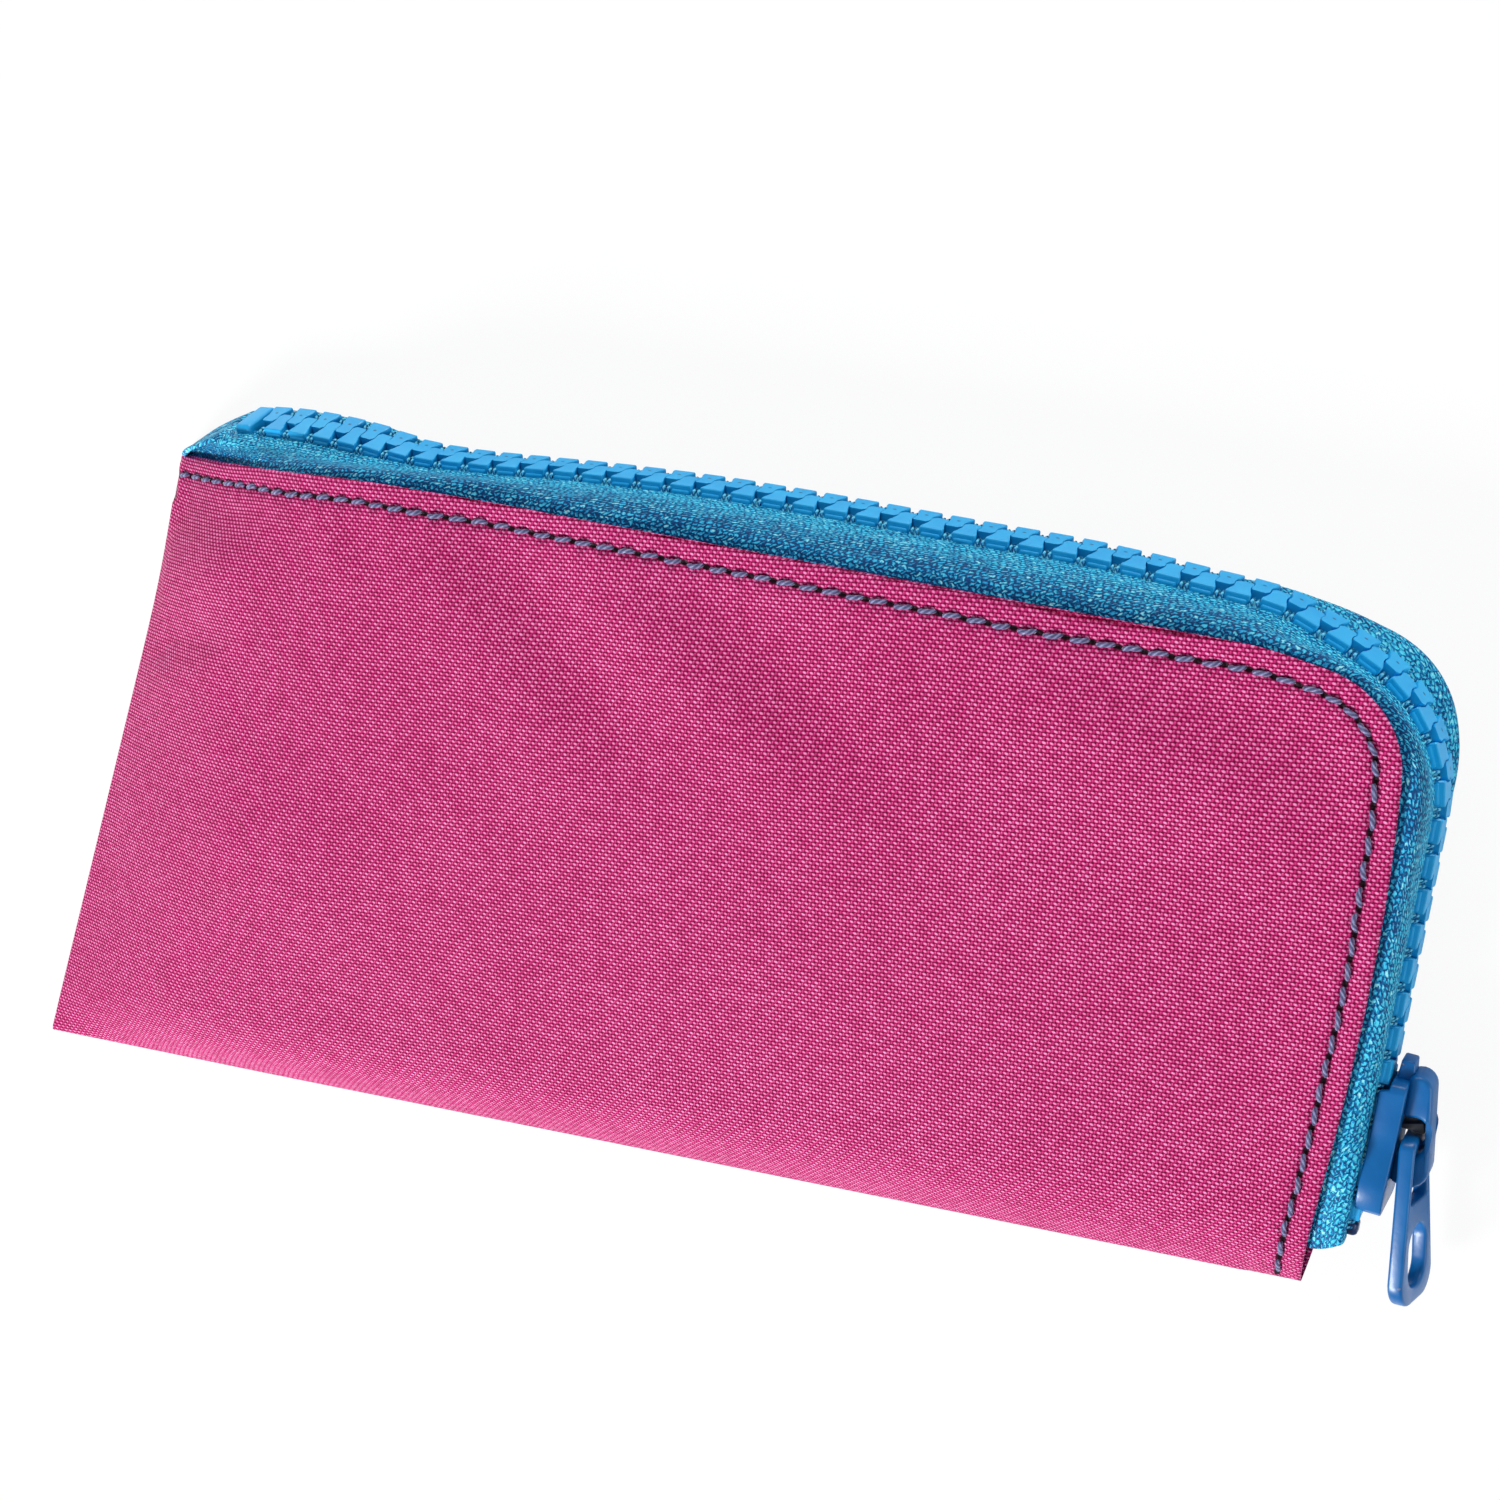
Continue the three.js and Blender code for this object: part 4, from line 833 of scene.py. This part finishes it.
zip_top = np.column_stack([hem_at[:, 0], hem_at[:, 1] + STAND_OFF * LONG_RUN[:, 1], TOP_HIGH * LONG_RUN[:, 2]])
zip_line = Path(spline(np.vstack([zip_side, zip_corner, zip_top]), True, 60))
SIDE_RUN = np.linalg.norm(zip_corner[0] - ZIP_START)
CORNER_RUN = ZIP_RADIUS * (ZIP_END + LEAN)
top_steps = np.linalg.norm(np.diff(np.vstack([zip_corner[-1:], zip_top]), axis=0), axis=1)
roll_places = np.concatenate([[0, SIDE_RUN], SIDE_RUN + CORNER_RUN + np.concatenate([[0], np.cumsum(top_steps)])])
roll_values = np.concatenate([[0, 0, LONG_RUN[0, 3]], LONG_RUN[:, 3]])


def roll_at(d):
    k = np.clip(np.searchsorted(roll_places, d) - 1, 0, len(roll_places) - 2)
    low, high = roll_places[k], roll_places[k + 1]
    t = smooth((d - low) / np.maximum(high - low, 1e-6), 0, 1)
    return MOST_ROLL * (roll_values[k] * (1 - t) + roll_values[k + 1] * t)


def zip_frame(d):
    """Middle of the chain and its axes: along, out of its face, towards the front."""
    d = np.atleast_1d(np.asarray(d, float))
    straight = unit(zip_corner[0] - ZIP_START)
    origin = zip_line.at(np.clip(d, 0, None))
    along = zip_line.tangent(d, 0.3)
    low = d < SIDE_RUN * 0.985
    origin[low] = ZIP_START + straight * d[low, None]
    along[low] = straight
    far = d > zip_line.length
    origin[far] = zip_line.p[-1] + along[far] * (d[far] - zip_line.length)[:, None]
    level = unit(np.stack([along[:, 1], -along[:, 0], np.zeros(len(d))], -1))
    upright = unit(np.cross(level, along))
    roll = roll_at(d)[:, None]
    return origin, along, level * np.cos(roll) + upright * np.sin(roll), upright * np.cos(roll) - level * np.sin(roll)


SLIDER_REST, SLIDER_LENGTH = 12.7, 15.6
WEDGE_TIP = SLIDER_REST - SLIDER_LENGTH / 2 + 3.4


def splay(d):
    """How far each row stands aside where the slider's wedge parts them."""
    return 1.6 * (1 - smooth(d, WEDGE_TIP, WEDGE_TIP + 4.0))


# ---------------------------------------------------------------- teeth
PITCH, REACH, TOOTH_HIGH = 4.25, 2.9, 2.8
tooth_count = int((zip_line.length - 3.2) / PITCH - 1)
side_count = int(SIDE_RUN / PITCH - 1)


def rounded_prism(outline, height, bevel, steps=2, share=1.0):
    """A prism over a convex or nearly convex outline with its top and bottom edges rounded."""
    outline = np.asarray(outline, float)
    n = len(outline)
    edge = np.roll(outline, -1, 0) - outline
    area = np.sum(outline[:, 0] * np.roll(outline[:, 1], -1) - outline[:, 1] * np.roll(outline[:, 0], -1))
    normal = unit(right_of(edge)) * np.sign(area)
    mitre = normal + np.roll(normal, 1, 0)
    mitre = mitre / np.maximum(np.sum(mitre * normal, -1, keepdims=True), 0.35)
    half, b = height / 2, bevel * np.ones(n) * share
    rings = [(outline - mitre * (b * (1 - np.sin(a)))[:, None], -half + b * (1 - np.cos(a)))
             for a in np.linspace(0, np.pi / 2, steps + 1)]
    rings += [(p, -z) for p, z in rings[::-1]]
    points = np.vstack([np.column_stack(ring) for ring in rings])
    last = (len(rings) - 1) * n
    faces = [list(f) for f in grid_faces(len(rings), n, wrap=True)]
    faces += [list(range(n))[::-1], [last + k for k in range(n)]]
    return points, faces if area > 0 else [f[::-1] for f in faces]


BODY_SIDE = [(1.40, REACH), (1.52, REACH - 0.12), (1.50, REACH - 0.7), (1.34, REACH - 1.15), (1.13, 1.2), (1.03, 0.9),
             (0.97, 0.45), (1.035, 0.0)]
RIGHT_HEAD, LEFT_HEAD = [(1.08, -0.4), (0.62, -0.93)], [(-0.82, -0.92), (-1.0, -0.8), (-1.10, -0.45)]
TOOTH_OUTLINE = np.array(BODY_SIDE + RIGHT_HEAD + LEFT_HEAD + [(-x, y) for x, y in BODY_SIDE[::-1]])
# edges are rounded in full on the body, and nearly not where the two rows' heads meet
TOOTH_POINTS, TOOTH_FACES = rounded_prism(TOOTH_OUTLINE, TOOTH_HIGH, 0.2,
                                          share=0.12 + 0.88 * smooth(TOOTH_OUTLINE[:, 1], 0.95, 1.6))
# the ridge where the mould closes over the tape's cord
LUG_TOP, LUG_FOOT = REACH + 0.22, REACH - 0.3
LUG_POINTS, LUG_FACES = rounded_prism([(1.2, LUG_TOP), (1.3, LUG_FOOT), (-1.3, LUG_FOOT), (-1.2, LUG_TOP)], 1.5, 0.2)


def place_points(points, d, side):
    """Points in a tooth's own frame (x along, y towards its tape, z out) at a place along the zip."""
    origin, along, out, front = zip_frame(d)
    x, y, z = points.T[:, :, None]
    return origin + side * front * splay(d) + side * along * x + side * front * y + out * z


def teeth(part, side, first, last):
    gather = Gather()
    for k in range(first, last):
        d = (k + 1) * PITCH + (0 if side > 0 else PITCH / 2)
        points = TOOTH_POINTS * [1, 1, 1 + 0.008 * rng.standard_normal()]
        gather.add(place_points(points, d, side), TOOTH_FACES, TOOTH_POINTS[:, :2] if side < 0 else None)
        gather.add(place_points(LUG_POINTS, d, side), LUG_FACES)
    gather.make(f"{SIDES[side]}_{part}_row", TEETH, f"{SIDES[side]}_{part}_teeth", False)


for tooth_side in SIDES:
    teeth("side", tooth_side, 0, side_count)
    teeth("top", tooth_side, side_count, tooth_count)


def stop(name, finish, d, side, middle, length, width):
    outline = rounded_box(width / 2, width / 2, TOOTH_HIGH / 2, -TOOTH_HIGH / 2, 0.7)
    points, faces = rounded_prism(outline, length, 0.4, 3)
    turned = np.column_stack([points[:, 2], points[:, 0] + middle, points[:, 1]])
    gather = Gather()
    gather.add(place_points(turned, d, side), [f[::-1] for f in faces] if side < 0 else faces)
    gather.make(name, finish, name.replace("stop", "end_stop"))


STOP_WIDE, STOP_LONG, CLOSED_LONG, TOOTH_LONG, STOP_GAP = 2.4, 1.7, 2.6, 3.1, 0.3
stop_back = TOOTH_LONG / 2 + STOP_GAP + STOP_LONG / 2
stop("front_stop", STOP, PITCH - stop_back, 1, REACH - STOP_WIDE / 2, STOP_LONG, STOP_WIDE)
stop("back_stop", STOP, 1.5 * PITCH - stop_back, -1, REACH - STOP_WIDE / 2, STOP_LONG, STOP_WIDE)
closed_place = (tooth_count + 0.5) * PITCH + TOOTH_LONG / 2 + STOP_GAP + CLOSED_LONG / 2
stop("closed_stop", TEETH, closed_place, 1, 0, CLOSED_LONG, 6.2)

# ---------------------------------------------------------------- tapes
STATIONS, RUN_ON = 620, 24
TAPE_THICK, UNDER_HEM, LOOSE_ROWS = 0.5, 8.0, 19


def facing_hem(share):
    """The hem's point that faces each share of the zip, and the way inward from it."""
    end_side, end_corner = SIDE_RUN / zip_line.length, (SIDE_RUN + CORNER_RUN) / zip_line.length
    place = np.interp(share, [0, end_side], [long_hem.length + 0.9 * side_hem.length, long_hem.length])
    round_corner = (share - end_side) / (end_corner - end_side)
    to_left = (share - end_corner) / (1 - end_corner)
    place = np.where(share < end_side, place, np.where(
        share < end_corner, long_hem.length + (top_hem.length - long_hem.length) * round_corner,
        top_hem.length + (0.035 * long_hem.length - top_hem.length) * to_left))
    return hem.at(place), right_of(hem.tangent(place))


def tape_surface(side):
    """A tape's middle surface: its corded edge, the loose web, and the strip under the hem."""
    share = np.linspace(0, 1, STATIONS)
    d = share * zip_line.length
    origin, along, out, front = zip_frame(d)
    inner = REACH + 0.3 + splay(d - 1.9)
    outer = np.maximum(REACH + (1.6 if side > 0 else 0.75), inner + 0.5)
    place, inward = facing_hem(share)
    under = CLOTH + HEM_TURN + TAPE_THICK

    def lay(p):
        z = front_height(*p.T) - under if side > 0 else back_height(*p.T) + under
        return np.column_stack([p, z])

    edge = lay(place)
    flat = origin + side * front * outer[:, None]
    reach = np.linalg.norm(edge - flat, axis=1)[:, None]
    meet = np.column_stack([place - inward * reach * 0.35, edge[:, 2]])
    if side > 0:
        leave = flat + front * reach * 0.36
    else:
        # the back web drops straight, and bulges round the corner
        bend = (SIDE_RUN + 0.62 * CORNER_RUN - d)[:, None]
        bulge = unit(out * [1, 1, 0]) * 3.8 * bell(bend, np.where(bend > 0, 13.0, 20.0))
        leave = flat - [0, 0, 1.0] * reach * 0.25 + bulge
        meet = meet + bulge * 0.8
    # the two edges close up beyond the closed stop
    closing = (inner - 1.3) * smooth(d, closed_place + 1.0, closed_place + 2.4)
    rows = [origin + side * front * w[:, None] for w in
            (inner - 1.15 - closing, inner - 0.7 - 0.8 * closing, inner - 0.2 - 0.5 * closing, inner - 0.25 * closing,
             (inner + outer) / 2)]
    for t in np.linspace(0, 1, 15)[:-1]:
        rows.append((1 - t) ** 3 * flat + 3 * t * (1 - t) ** 2 * leave + 3 * t * t * (1 - t) * meet + t**3 * edge)
    for t in np.linspace(0, 1, 7):
        rows.append(lay(place + inward * UNDER_HEM * t))
    points = np.stack(rows, 1)
    # beyond the last tooth the web sinks to the hem's left corner
    first = hem.at(0.3)
    corner = np.array([*first, (front_height(*first) + back_height(*first)) / 2])
    rank = np.linspace(1, 0, LOOSE_ROWS)[:, None]
    more = []
    for t in np.linspace(0, 1, RUN_ON + 1)[1:]:
        here = place[-1] + (first - place[-1]) * t
        loose = lay(here[None]) + (points[-1, :LOOSE_ROWS] - edge[-1]) * max(0.04, np.sqrt(1 - t**1.6))
        middle = origin[-1] + (corner - origin[-1]) * t + side * front[-1] * 0.2 + [0, 0, 1.2 * t * (1 - t) * 4]
        loose = loose + (middle - loose[0]) * rank * smooth(t, 0, 0.12)
        strip = here + inward[-1] * UNDER_HEM * np.linspace(0, 1, 7)[:, None] * (1 - 0.75 * t)
        more.append(np.vstack([loose, lay(strip)]))
    points = np.concatenate([points, np.stack(more)])
    ahead = np.linalg.norm(np.diff(points[-RUN_ON - 1 :, LOOSE_ROWS], axis=0), axis=1)
    d = np.concatenate([d, d[-1] + np.cumsum(ahead)])[:, None]
    across = np.cumsum(np.linalg.norm(np.diff(points, axis=1, prepend=points[:, :1]), axis=2), axis=1)
    # soft waves of the loose web, none at the teeth or under the hem
    normal = unit(np.cross(np.gradient(points, axis=0), np.gradient(points, axis=1)))
    web_end = across[:, LOOSE_ROWS - 1 : LOOSE_ROWS]
    loose = smooth(across, 1.6, 4.0) * (1 - smooth(across, web_end - 2.5, web_end))
    wave = 0.16 * np.sin(d / 5.3 + 0.5 * across) + 0.1 * np.sin(d / 2.4 - 0.8 * across + 1)
    ribs = 0.05 * np.cos(2 * np.pi * d / PITCH) * bell(across - 1.6, 1.0)
    fade = np.ones(len(d))
    fade[-RUN_ON:] = np.linspace(1, 0, RUN_ON)
    points = points + normal * (wave * loose + ribs)[..., None] * 0.7 * fade[:, None, None]
    return points, np.stack(np.broadcast_arrays(d, across), -1)


def tape(side):
    points, run = tape_surface(side)
    return sheet(f"{SIDES[side]}_tape", points, TAPE_THICK, TAPE, f"{SIDES[side]}_zip_tape", run)


front_tape = tape(1)
back_tape = tape(-1)
CORD_R, CORD_AT = 0.62, REACH - 0.62


def edge_cord(side):
    """The corded edge that the teeth are moulded on, and the small loops that hold it down between them."""
    gather = Gather()
    d = np.arange(PITCH - 2.0, (tooth_count + 0.6) * PITCH, 0.35)
    origin, _, out, front = zip_frame(d)
    gather.add(*tube(origin + side * front * (CORD_AT + splay(d - 0.9))[:, None], CORD_R, 10, 2.0, 4, 0.06))
    t = np.linspace(-0.15, 1.15, 9) * np.pi
    for k in range(tooth_count + 1):
        middle = (k + 0.5) * PITCH + (0 if side > 0 else PITCH / 2)
        for lean in (-0.32, 0.32):
            s = middle + lean + 0.1 * lean * np.cos(t)
            origin, _, out, front = zip_frame(s)
            aside = CORD_AT + 0.95 * np.cos(t) + splay(s)
            gather.add(*tube(origin + side * front * aside[:, None] + out * 0.78 * np.sin(t)[:, None], 0.2, 6))
    # the lighter copy of the tape's knit on the cord and loops is painted highlight
    gather.make(f"{SIDES[side]}_tape_edge_highlit", CORD_HIGHLIT)


edge_cord(1)
edge_cord(-1)

# ---------------------------------------------------------------- slider, crown and puller
slider_middle, slider_along, slider_out, slider_front = (v[0] for v in zip_frame(SLIDER_REST))
slider_axes = np.array([slider_along, slider_front, slider_out])


def in_slider(points):
    """Plan points from the slider's own: x along it, y towards the front, z out of its face."""
    return slider_middle + points @ slider_axes


def solid(name, points, faces, finish, body, node, bevel, segments, move=in_slider):
    """A hard piece with its edges rounded by a bevel that is applied."""
    mesh = bpy.data.meshes.new(name)
    mesh.from_pydata(np.asarray(points, float).tolist(), [], faces)
    bm = bmesh.new()
    bm.from_mesh(mesh)
    bmesh.ops.remove_doubles(bm, verts=bm.verts, dist=1e-5)
    bmesh.ops.recalc_face_normals(bm, faces=bm.faces)
    bmesh.ops.dissolve_limit(bm, angle_limit=np.radians(1.0), verts=bm.verts, edges=bm.edges)
    sharp = [e for e in bm.edges if len(e.link_faces) == 2 and e.calc_face_angle(0) > np.radians(28)]
    bmesh.ops.bevel(bm, geom=sharp, offset=bevel, segments=segments, profile=0.5, affect="EDGES", clamp_overlap=True)
    bmesh.ops.triangulate(bm, faces=[f for f in bm.faces if len(f.verts) > 4])
    for vert, place in zip(bm.verts, to_row(move(np.array([v.co for v in bm.verts])))):
        vert.co = place
    bmesh.ops.recalc_face_normals(bm, faces=bm.faces)
    bm.to_mesh(mesh)
    bm.free()
    mesh.polygons.foreach_set("use_smooth", [True] * len(mesh.polygons))
    mesh.set_sharp_from_angle(angle=np.radians(38))
    return as_piece(name, mesh, finish, body, node)


def extruded(outline, half_or_low, high=None, column=1):
    """A prism over an outline in the slider's x and z, or, with column 2, in its x and y."""
    n = len(outline)
    low, high = (-half_or_low, half_or_low) if high is None else (half_or_low, high)
    points = np.vstack([np.insert(outline, column, value, axis=1) for value in (low, high)])
    faces = [[k, (k + 1) % n, (k + 1) % n + n, k + n] for k in range(n)]
    return points, faces + [list(range(n))[::-1], list(range(n, 2 * n))]


HALF_L, SLOT_HALF, WALL = SLIDER_LENGTH / 2, 0.55, 0.7
CHANNEL = TOOTH_HIGH / 2 + 0.3
INNER_FACE, OUTER_FACE = -CHANNEL - 1.15, CHANNEL + 1.15 + 0.8
# places along the slider, and half its width there: wider towards the mouth where the rows part
SLIDER_STATIONS = [(-HALF_L - 0.9, 4.1), (-HALF_L - 0.3, 4.9), (-HALF_L + 1.2, 5.5), (-4.6, 5.5), (-2.4, 4.8),
                   (-0.4, 4.0), (1.5, 3.9), (HALF_L - 1.3, 3.9), (HALF_L - 1.0, 3.85), (HALF_L - 0.35, 3.5),
                   (HALF_L, 2.7)]


def slider_half(name, node, low, high, floor):
    """Half the body: a plate with a flange down each side."""
    points, faces, n = [], [], 8
    for x, w in SLIDER_STATIONS:
        lip = low if x < HALF_L - 1.1 else floor
        section = [(w, lip), (w, high), (-w, high), (-w, lip), (WALL - w, lip), (WALL - w, floor), (w - WALL, floor),
                   (w - WALL, lip)]
        points += [(x, y, z) for y, z in section]
    last = (len(SLIDER_STATIONS) - 1) * n
    for k in range(0, last, n):
        faces += [[k + j, k + (j + 1) % n, k + n + (j + 1) % n, k + n + j] for j in range(n)]
    for corners in ([0, 1, 6, 7], [1, 2, 5, 6], [2, 3, 4, 5]):
        faces += [corners, [last + v for v in corners[::-1]]]
    solid(name, points, faces, ENAMEL, "slider", node, 0.3, 3)


slider_half("slider_outer_half", "slider_body", SLOT_HALF, OUTER_FACE, CHANNEL)
slider_half("slider_inner_half", None, -SLOT_HALF, INNER_FACE, -CHANNEL)
WEDGE = [(-HALF_L + 0.2, -0.6), (-HALF_L + 3.4, -0.3), (-HALF_L + 3.4, 0.3), (-HALF_L + 0.2, 0.6)]
solid("slider_post", *extruded(WEDGE, CHANNEL + 0.3, column=2), ENAMEL, "slider", None, 0.15, 2)

EYE_UP, EYE_R, EYE_LONG, EYE_MIDDLE = 0.5, 1.55, 1.6, OUTER_FACE + 1.5
CROWN_TOP, CROWN_FOOT = OUTER_FACE + 0.3 + 3.85, OUTER_FACE - 0.15
CROWN_END, CROWN_LENGTH, CROWN_W, CROWN_FALL = HALF_L + 1.05, 14.1, 4.6, 1.3
START_R, END_R = 2.6, 1.9
CROWN_START = CROWN_END - CROWN_LENGTH
CROWN = [(CROWN_START + 0.5, CROWN_FOOT), (EYE_UP - EYE_R + 0.25, CROWN_FOOT),
         *arc(EYE_UP, EYE_MIDDLE, EYE_R, 180, 90, 7), *arc(EYE_UP + EYE_LONG, EYE_MIDDLE, EYE_R, 90, 0, 7),
         (EYE_UP + EYE_LONG + EYE_R - 0.25, CROWN_FOOT), (CROWN_END - 0.2, CROWN_FOOT),
         *arc(CROWN_END - END_R, CROWN_TOP - CROWN_FALL - END_R, END_R, 0, 82, 7),
         *arc(CROWN_START + START_R, CROWN_TOP - START_R, START_R, 84, 180, 7)]
# the leaf spring closes the eye from above; it is painted near black as painted shade inside the eye
SPRING = [(EYE_UP + 1.5, OUTER_FACE - 0.3), (EYE_UP + 1.9, OUTER_FACE - 0.3), (EYE_UP + 2.7, EYE_MIDDLE + 0.9),
          (EYE_UP + 1.7, EYE_MIDDLE + 1.25), (EYE_UP + 1.4, EYE_MIDDLE + 1.15)]
TAIL = [(CROWN_END - 1.6, OUTER_FACE - 1.7), (CROWN_END + 1.3, OUTER_FACE - 1.5), (CROWN_END + 1.3, OUTER_FACE + 0.1),
        (CROWN_END - 1.6, OUTER_FACE + 0.4)]
solid("crown", *extruded(CROWN, CROWN_W / 2), ENAMEL, "slider", "slider_crown", 0.6, 4)
solid("crown_spring", *extruded(SPRING, 1.9), STEEL_EYE_SHADE, "slider", None, 0.1, 2)
solid("crown_tail", *extruded(TAIL, 1.5), ENAMEL, "slider", None, 0.25, 3)

TAB_TOP, TAB_LENGTH, TAB_HALF = 0.75, 21.2, 0.95
TAB_FOOT = TAB_TOP - TAB_LENGTH
TILT, TAB_TWIST = np.radians(9.0), np.radians(-12.0)


def puller():
    """The tab: its outline with two holes, filled, thickened and rounded, then twisted a little and leant."""
    half = arc(2.9, TAB_TOP - 1.3, 1.3, 90, 8, 6) + arc(1.8, TAB_FOOT + 3.4, 3.0, -5, -90, 9, 3.4)
    outline = half + [(-x, y) for x, y in half[::-1]]
    hole_top = TAB_TOP - 1.5
    hole_foot = hole_top - 7.0
    bar_hole = rounded_box(2.85, 2.55, hole_top, hole_foot, 0.7)
    grip_r = 2.7
    grip = (arc(0, hole_foot - 3.0 - grip_r, grip_r, 0, 180, 17)
            + arc(0, hole_foot - 3.0 - 7.9 + grip_r, grip_r, 180, 360, 17))
    verts, edges = [], []
    for ring in (outline, bar_hole, grip):
        edges += [(len(verts) + k, len(verts) + (k + 1) % len(ring)) for k in range(len(ring))]
        verts += ring
    flat, _, faces, _, _, _ = delaunay_2d_cdt(verts, edges, [], 2, 1e-5, False)
    flat = np.array([tuple(v) for v in flat])
    middles = np.array([flat[list(f)].mean(0) for f in faces])
    solid_here = inside(middles, outline) & ~inside(middles, bar_hole) & ~inside(middles, grip)
    faces = [list(f) for f, here in zip(faces, solid_here) if here]
    n = len(flat)
    points = np.vstack([np.insert(flat, 2, z, axis=1) for z in (-TAB_HALF, TAB_HALF)])
    ways = dict.fromkeys((a, b) for f in faces for a, b in zip(f, f[1:] + f[:1]))
    every = [f[::-1] for f in faces] + [[v + n for v in f] for f in faces]
    every += [[a, b, b + n, a + n] for a, b in ways if (b, a) not in ways]

    def move(p):
        # x is across (towards the back), y up the slider, z out
        across, up, out = -p[:, 0], p[:, 1], p[:, 2]
        turn = TAB_TWIST * np.clip((TAB_TOP - up) / 6.0, 0, 1)
        across, out = across * np.cos(turn) - out * np.sin(turn), across * np.sin(turn) + out * np.cos(turn)
        return in_slider(np.column_stack([up * np.cos(TILT) + out * np.sin(TILT) + EYE_UP, across,
                                          out * np.cos(TILT) - up * np.sin(TILT) + EYE_MIDDLE]))

    solid("puller_tab", points, every, ENAMEL, "puller", "puller", 0.42, 3, move)


puller()

# ---------------------------------------------------------------- inside
MEAN_LENGTH = BASE - 26.3 / 2
LINING_THICK, LINING_GAP = 0.36, 0.5


def panel_point(u, v):
    """Plan points from shares across and up the panel."""
    u_, v_ = u[..., None], v[..., None]
    bottom = BOTTOM_LEFT + (BOTTOM_RIGHT - BOTTOM_LEFT) * u_
    left = BOTTOM_LEFT + (TOP_LEFT - BOTTOM_LEFT) * v_
    top, right = long_hem.at(u * long_hem.length), side_hem.at((1 - v) * side_hem.length)
    corners = bottom * (1 - v_) + (TOP_LEFT + (SIDE_TOP - TOP_LEFT) * u_) * v_
    return bottom + (top - bottom) * v_ + left + (right - left) * u_ - corners


def lining(side):
    u, v = np.meshgrid(np.linspace(0, 1, 120), np.linspace(0, 1, 56), indexing="ij")
    low, high = 9.0 / DEPTH, 1 - (10.0 + 6.5 * u**7) / DEPTH
    left, right = 6.5 / MEAN_LENGTH, 1 - 16.0 / MEAN_LENGTH
    p = panel_point(left + (right - left) * u, low + (high - low) * v)
    x, y = p[..., 0], p[..., 1]
    d = from_hem(x, y)[1]
    wrinkle = 0.05 * np.sin(x / 6.0 + np.sin(y / 9.0)) * np.sin(y / 7.0)
    z = (front_height(x, y) if side > 0 else back_height(x, y, d)) - side * (
        CLOTH + HEM_TURN * hem_share(x, y, d) + LINING_GAP + wrinkle)
    return sheet(f"{SIDES[side]}_lining_cloth", np.concatenate([p, z[..., None]], -1), LINING_THICK, LINING,
                 f"{SIDES[side]}_lining", p)


front_inside = lining(1)
back_inside = lining(-1)


def band(name, node, foot, head, start, end, inward):
    """A bound seam: a tape, slightly arched across, along a part of an edge."""
    width, lift, thick = 4.0, 0.32, 0.7
    t = np.linspace(0, 1, 160)
    w = np.linspace(0, width, 9)
    line = np.linspace(foot + (head - foot) * start, foot + (head - foot) * end, 160) + 2.0 * inward
    p = line[:, None] + w[:, None] * inward
    x, y = p[..., 0], p[..., 1]
    d = from_hem(x, y)[1]
    ground = back_height(x, y, d) + CLOTH + HEM_TURN * hem_share(x, y, d)
    z = ground + lift + thick / 2 + 0.12 * np.sin(np.pi * w / width)
    run = np.stack(np.meshgrid(t * np.linalg.norm(line[-1] - line[0]), w, indexing="ij"), -1)
    sheet(name, np.concatenate([p, z[..., None]], -1), thick, BINDING, node, run)


SEAM_IN = right_of(LEFT_WAY[None])[0]
band("side_binding", "side_seam_binding", BOTTOM_LEFT, TOP_LEFT, 0.095, 0.9, SEAM_IN)
band("bottom_binding", "bottom_seam_binding", BOTTOM_LEFT, BOTTOM_RIGHT, 0.06, 0.95, np.array([0, 1]))

INNER_FLOOR = CLOTH + 0.6 + 0.4
POCKET_LONG, POCKET_DEEP, POCKET_X, POCKET_Y = 84.0, 32.0, 8.0, 15.0


def flat_piece(name, node, depth, thick, y, finish, wave):
    """A strip as long as the pocket, slightly waved, on the back lining."""
    u, v = np.meshgrid(np.linspace(-0.5, 0.5, 90), np.linspace(0, 1, 34), indexing="ij")
    x, y = POCKET_X + u * POCKET_LONG, y + v * depth
    z = INNER_FLOOR + thick / 2 + wave * (0.5 + 0.5 * np.sin(x / 4.0)) * np.sin(np.pi * v)
    points = np.stack([x, y, z], -1)
    return sheet(name, points, thick, finish, node, points[..., :2])


pocket = flat_piece("mesh_pocket", "inner_pocket", POCKET_DEEP, 0.3, POCKET_Y, MESH, 0.1)
flat_piece("pocket_elastic", "pocket_trim", 3.0, 0.9, POCKET_Y + POCKET_DEEP + 0.3, ELASTIC, 0.08)


def loop(name, node, span, rise, x, y, upright):
    """An elastic loop: two sewn feet and an arch."""
    thick, foot, width = 0.8, 3.0, 12.0
    half, middle = span / 2, thick / 2
    r = half - foot - middle
    steps = np.linspace(0, foot, 6)
    line = np.array([(half - t, middle) for t in steps[:-1]]
                    + [(r * np.cos(a), middle + (rise - thick) * np.sin(a) ** 0.96) for a in np.linspace(0, np.pi, 40)]
                    + [(foot - half - t, middle) for t in steps[1:]])
    w = np.linspace(-width / 2, width / 2, 15)
    across, along = np.broadcast_arrays(line[:, :1], w)
    height = INNER_FLOOR + line[:, 1:] + 0 * w
    points = np.stack([x - along, y + across, height] if upright else [x + across, y + along, height], -1)
    sheet(name, points, thick - 0.06, ELASTIC, node, np.stack(np.meshgrid(Path(line).s, w, indexing="ij"), -1))


loop("pen_elastic", "pen_loop", 20.6, 11.5, 44.0, 63.0, True)
loop("vial_elastic", "strip_vial_loop", 31.6, 13.8, -52.0, 42.0, False)
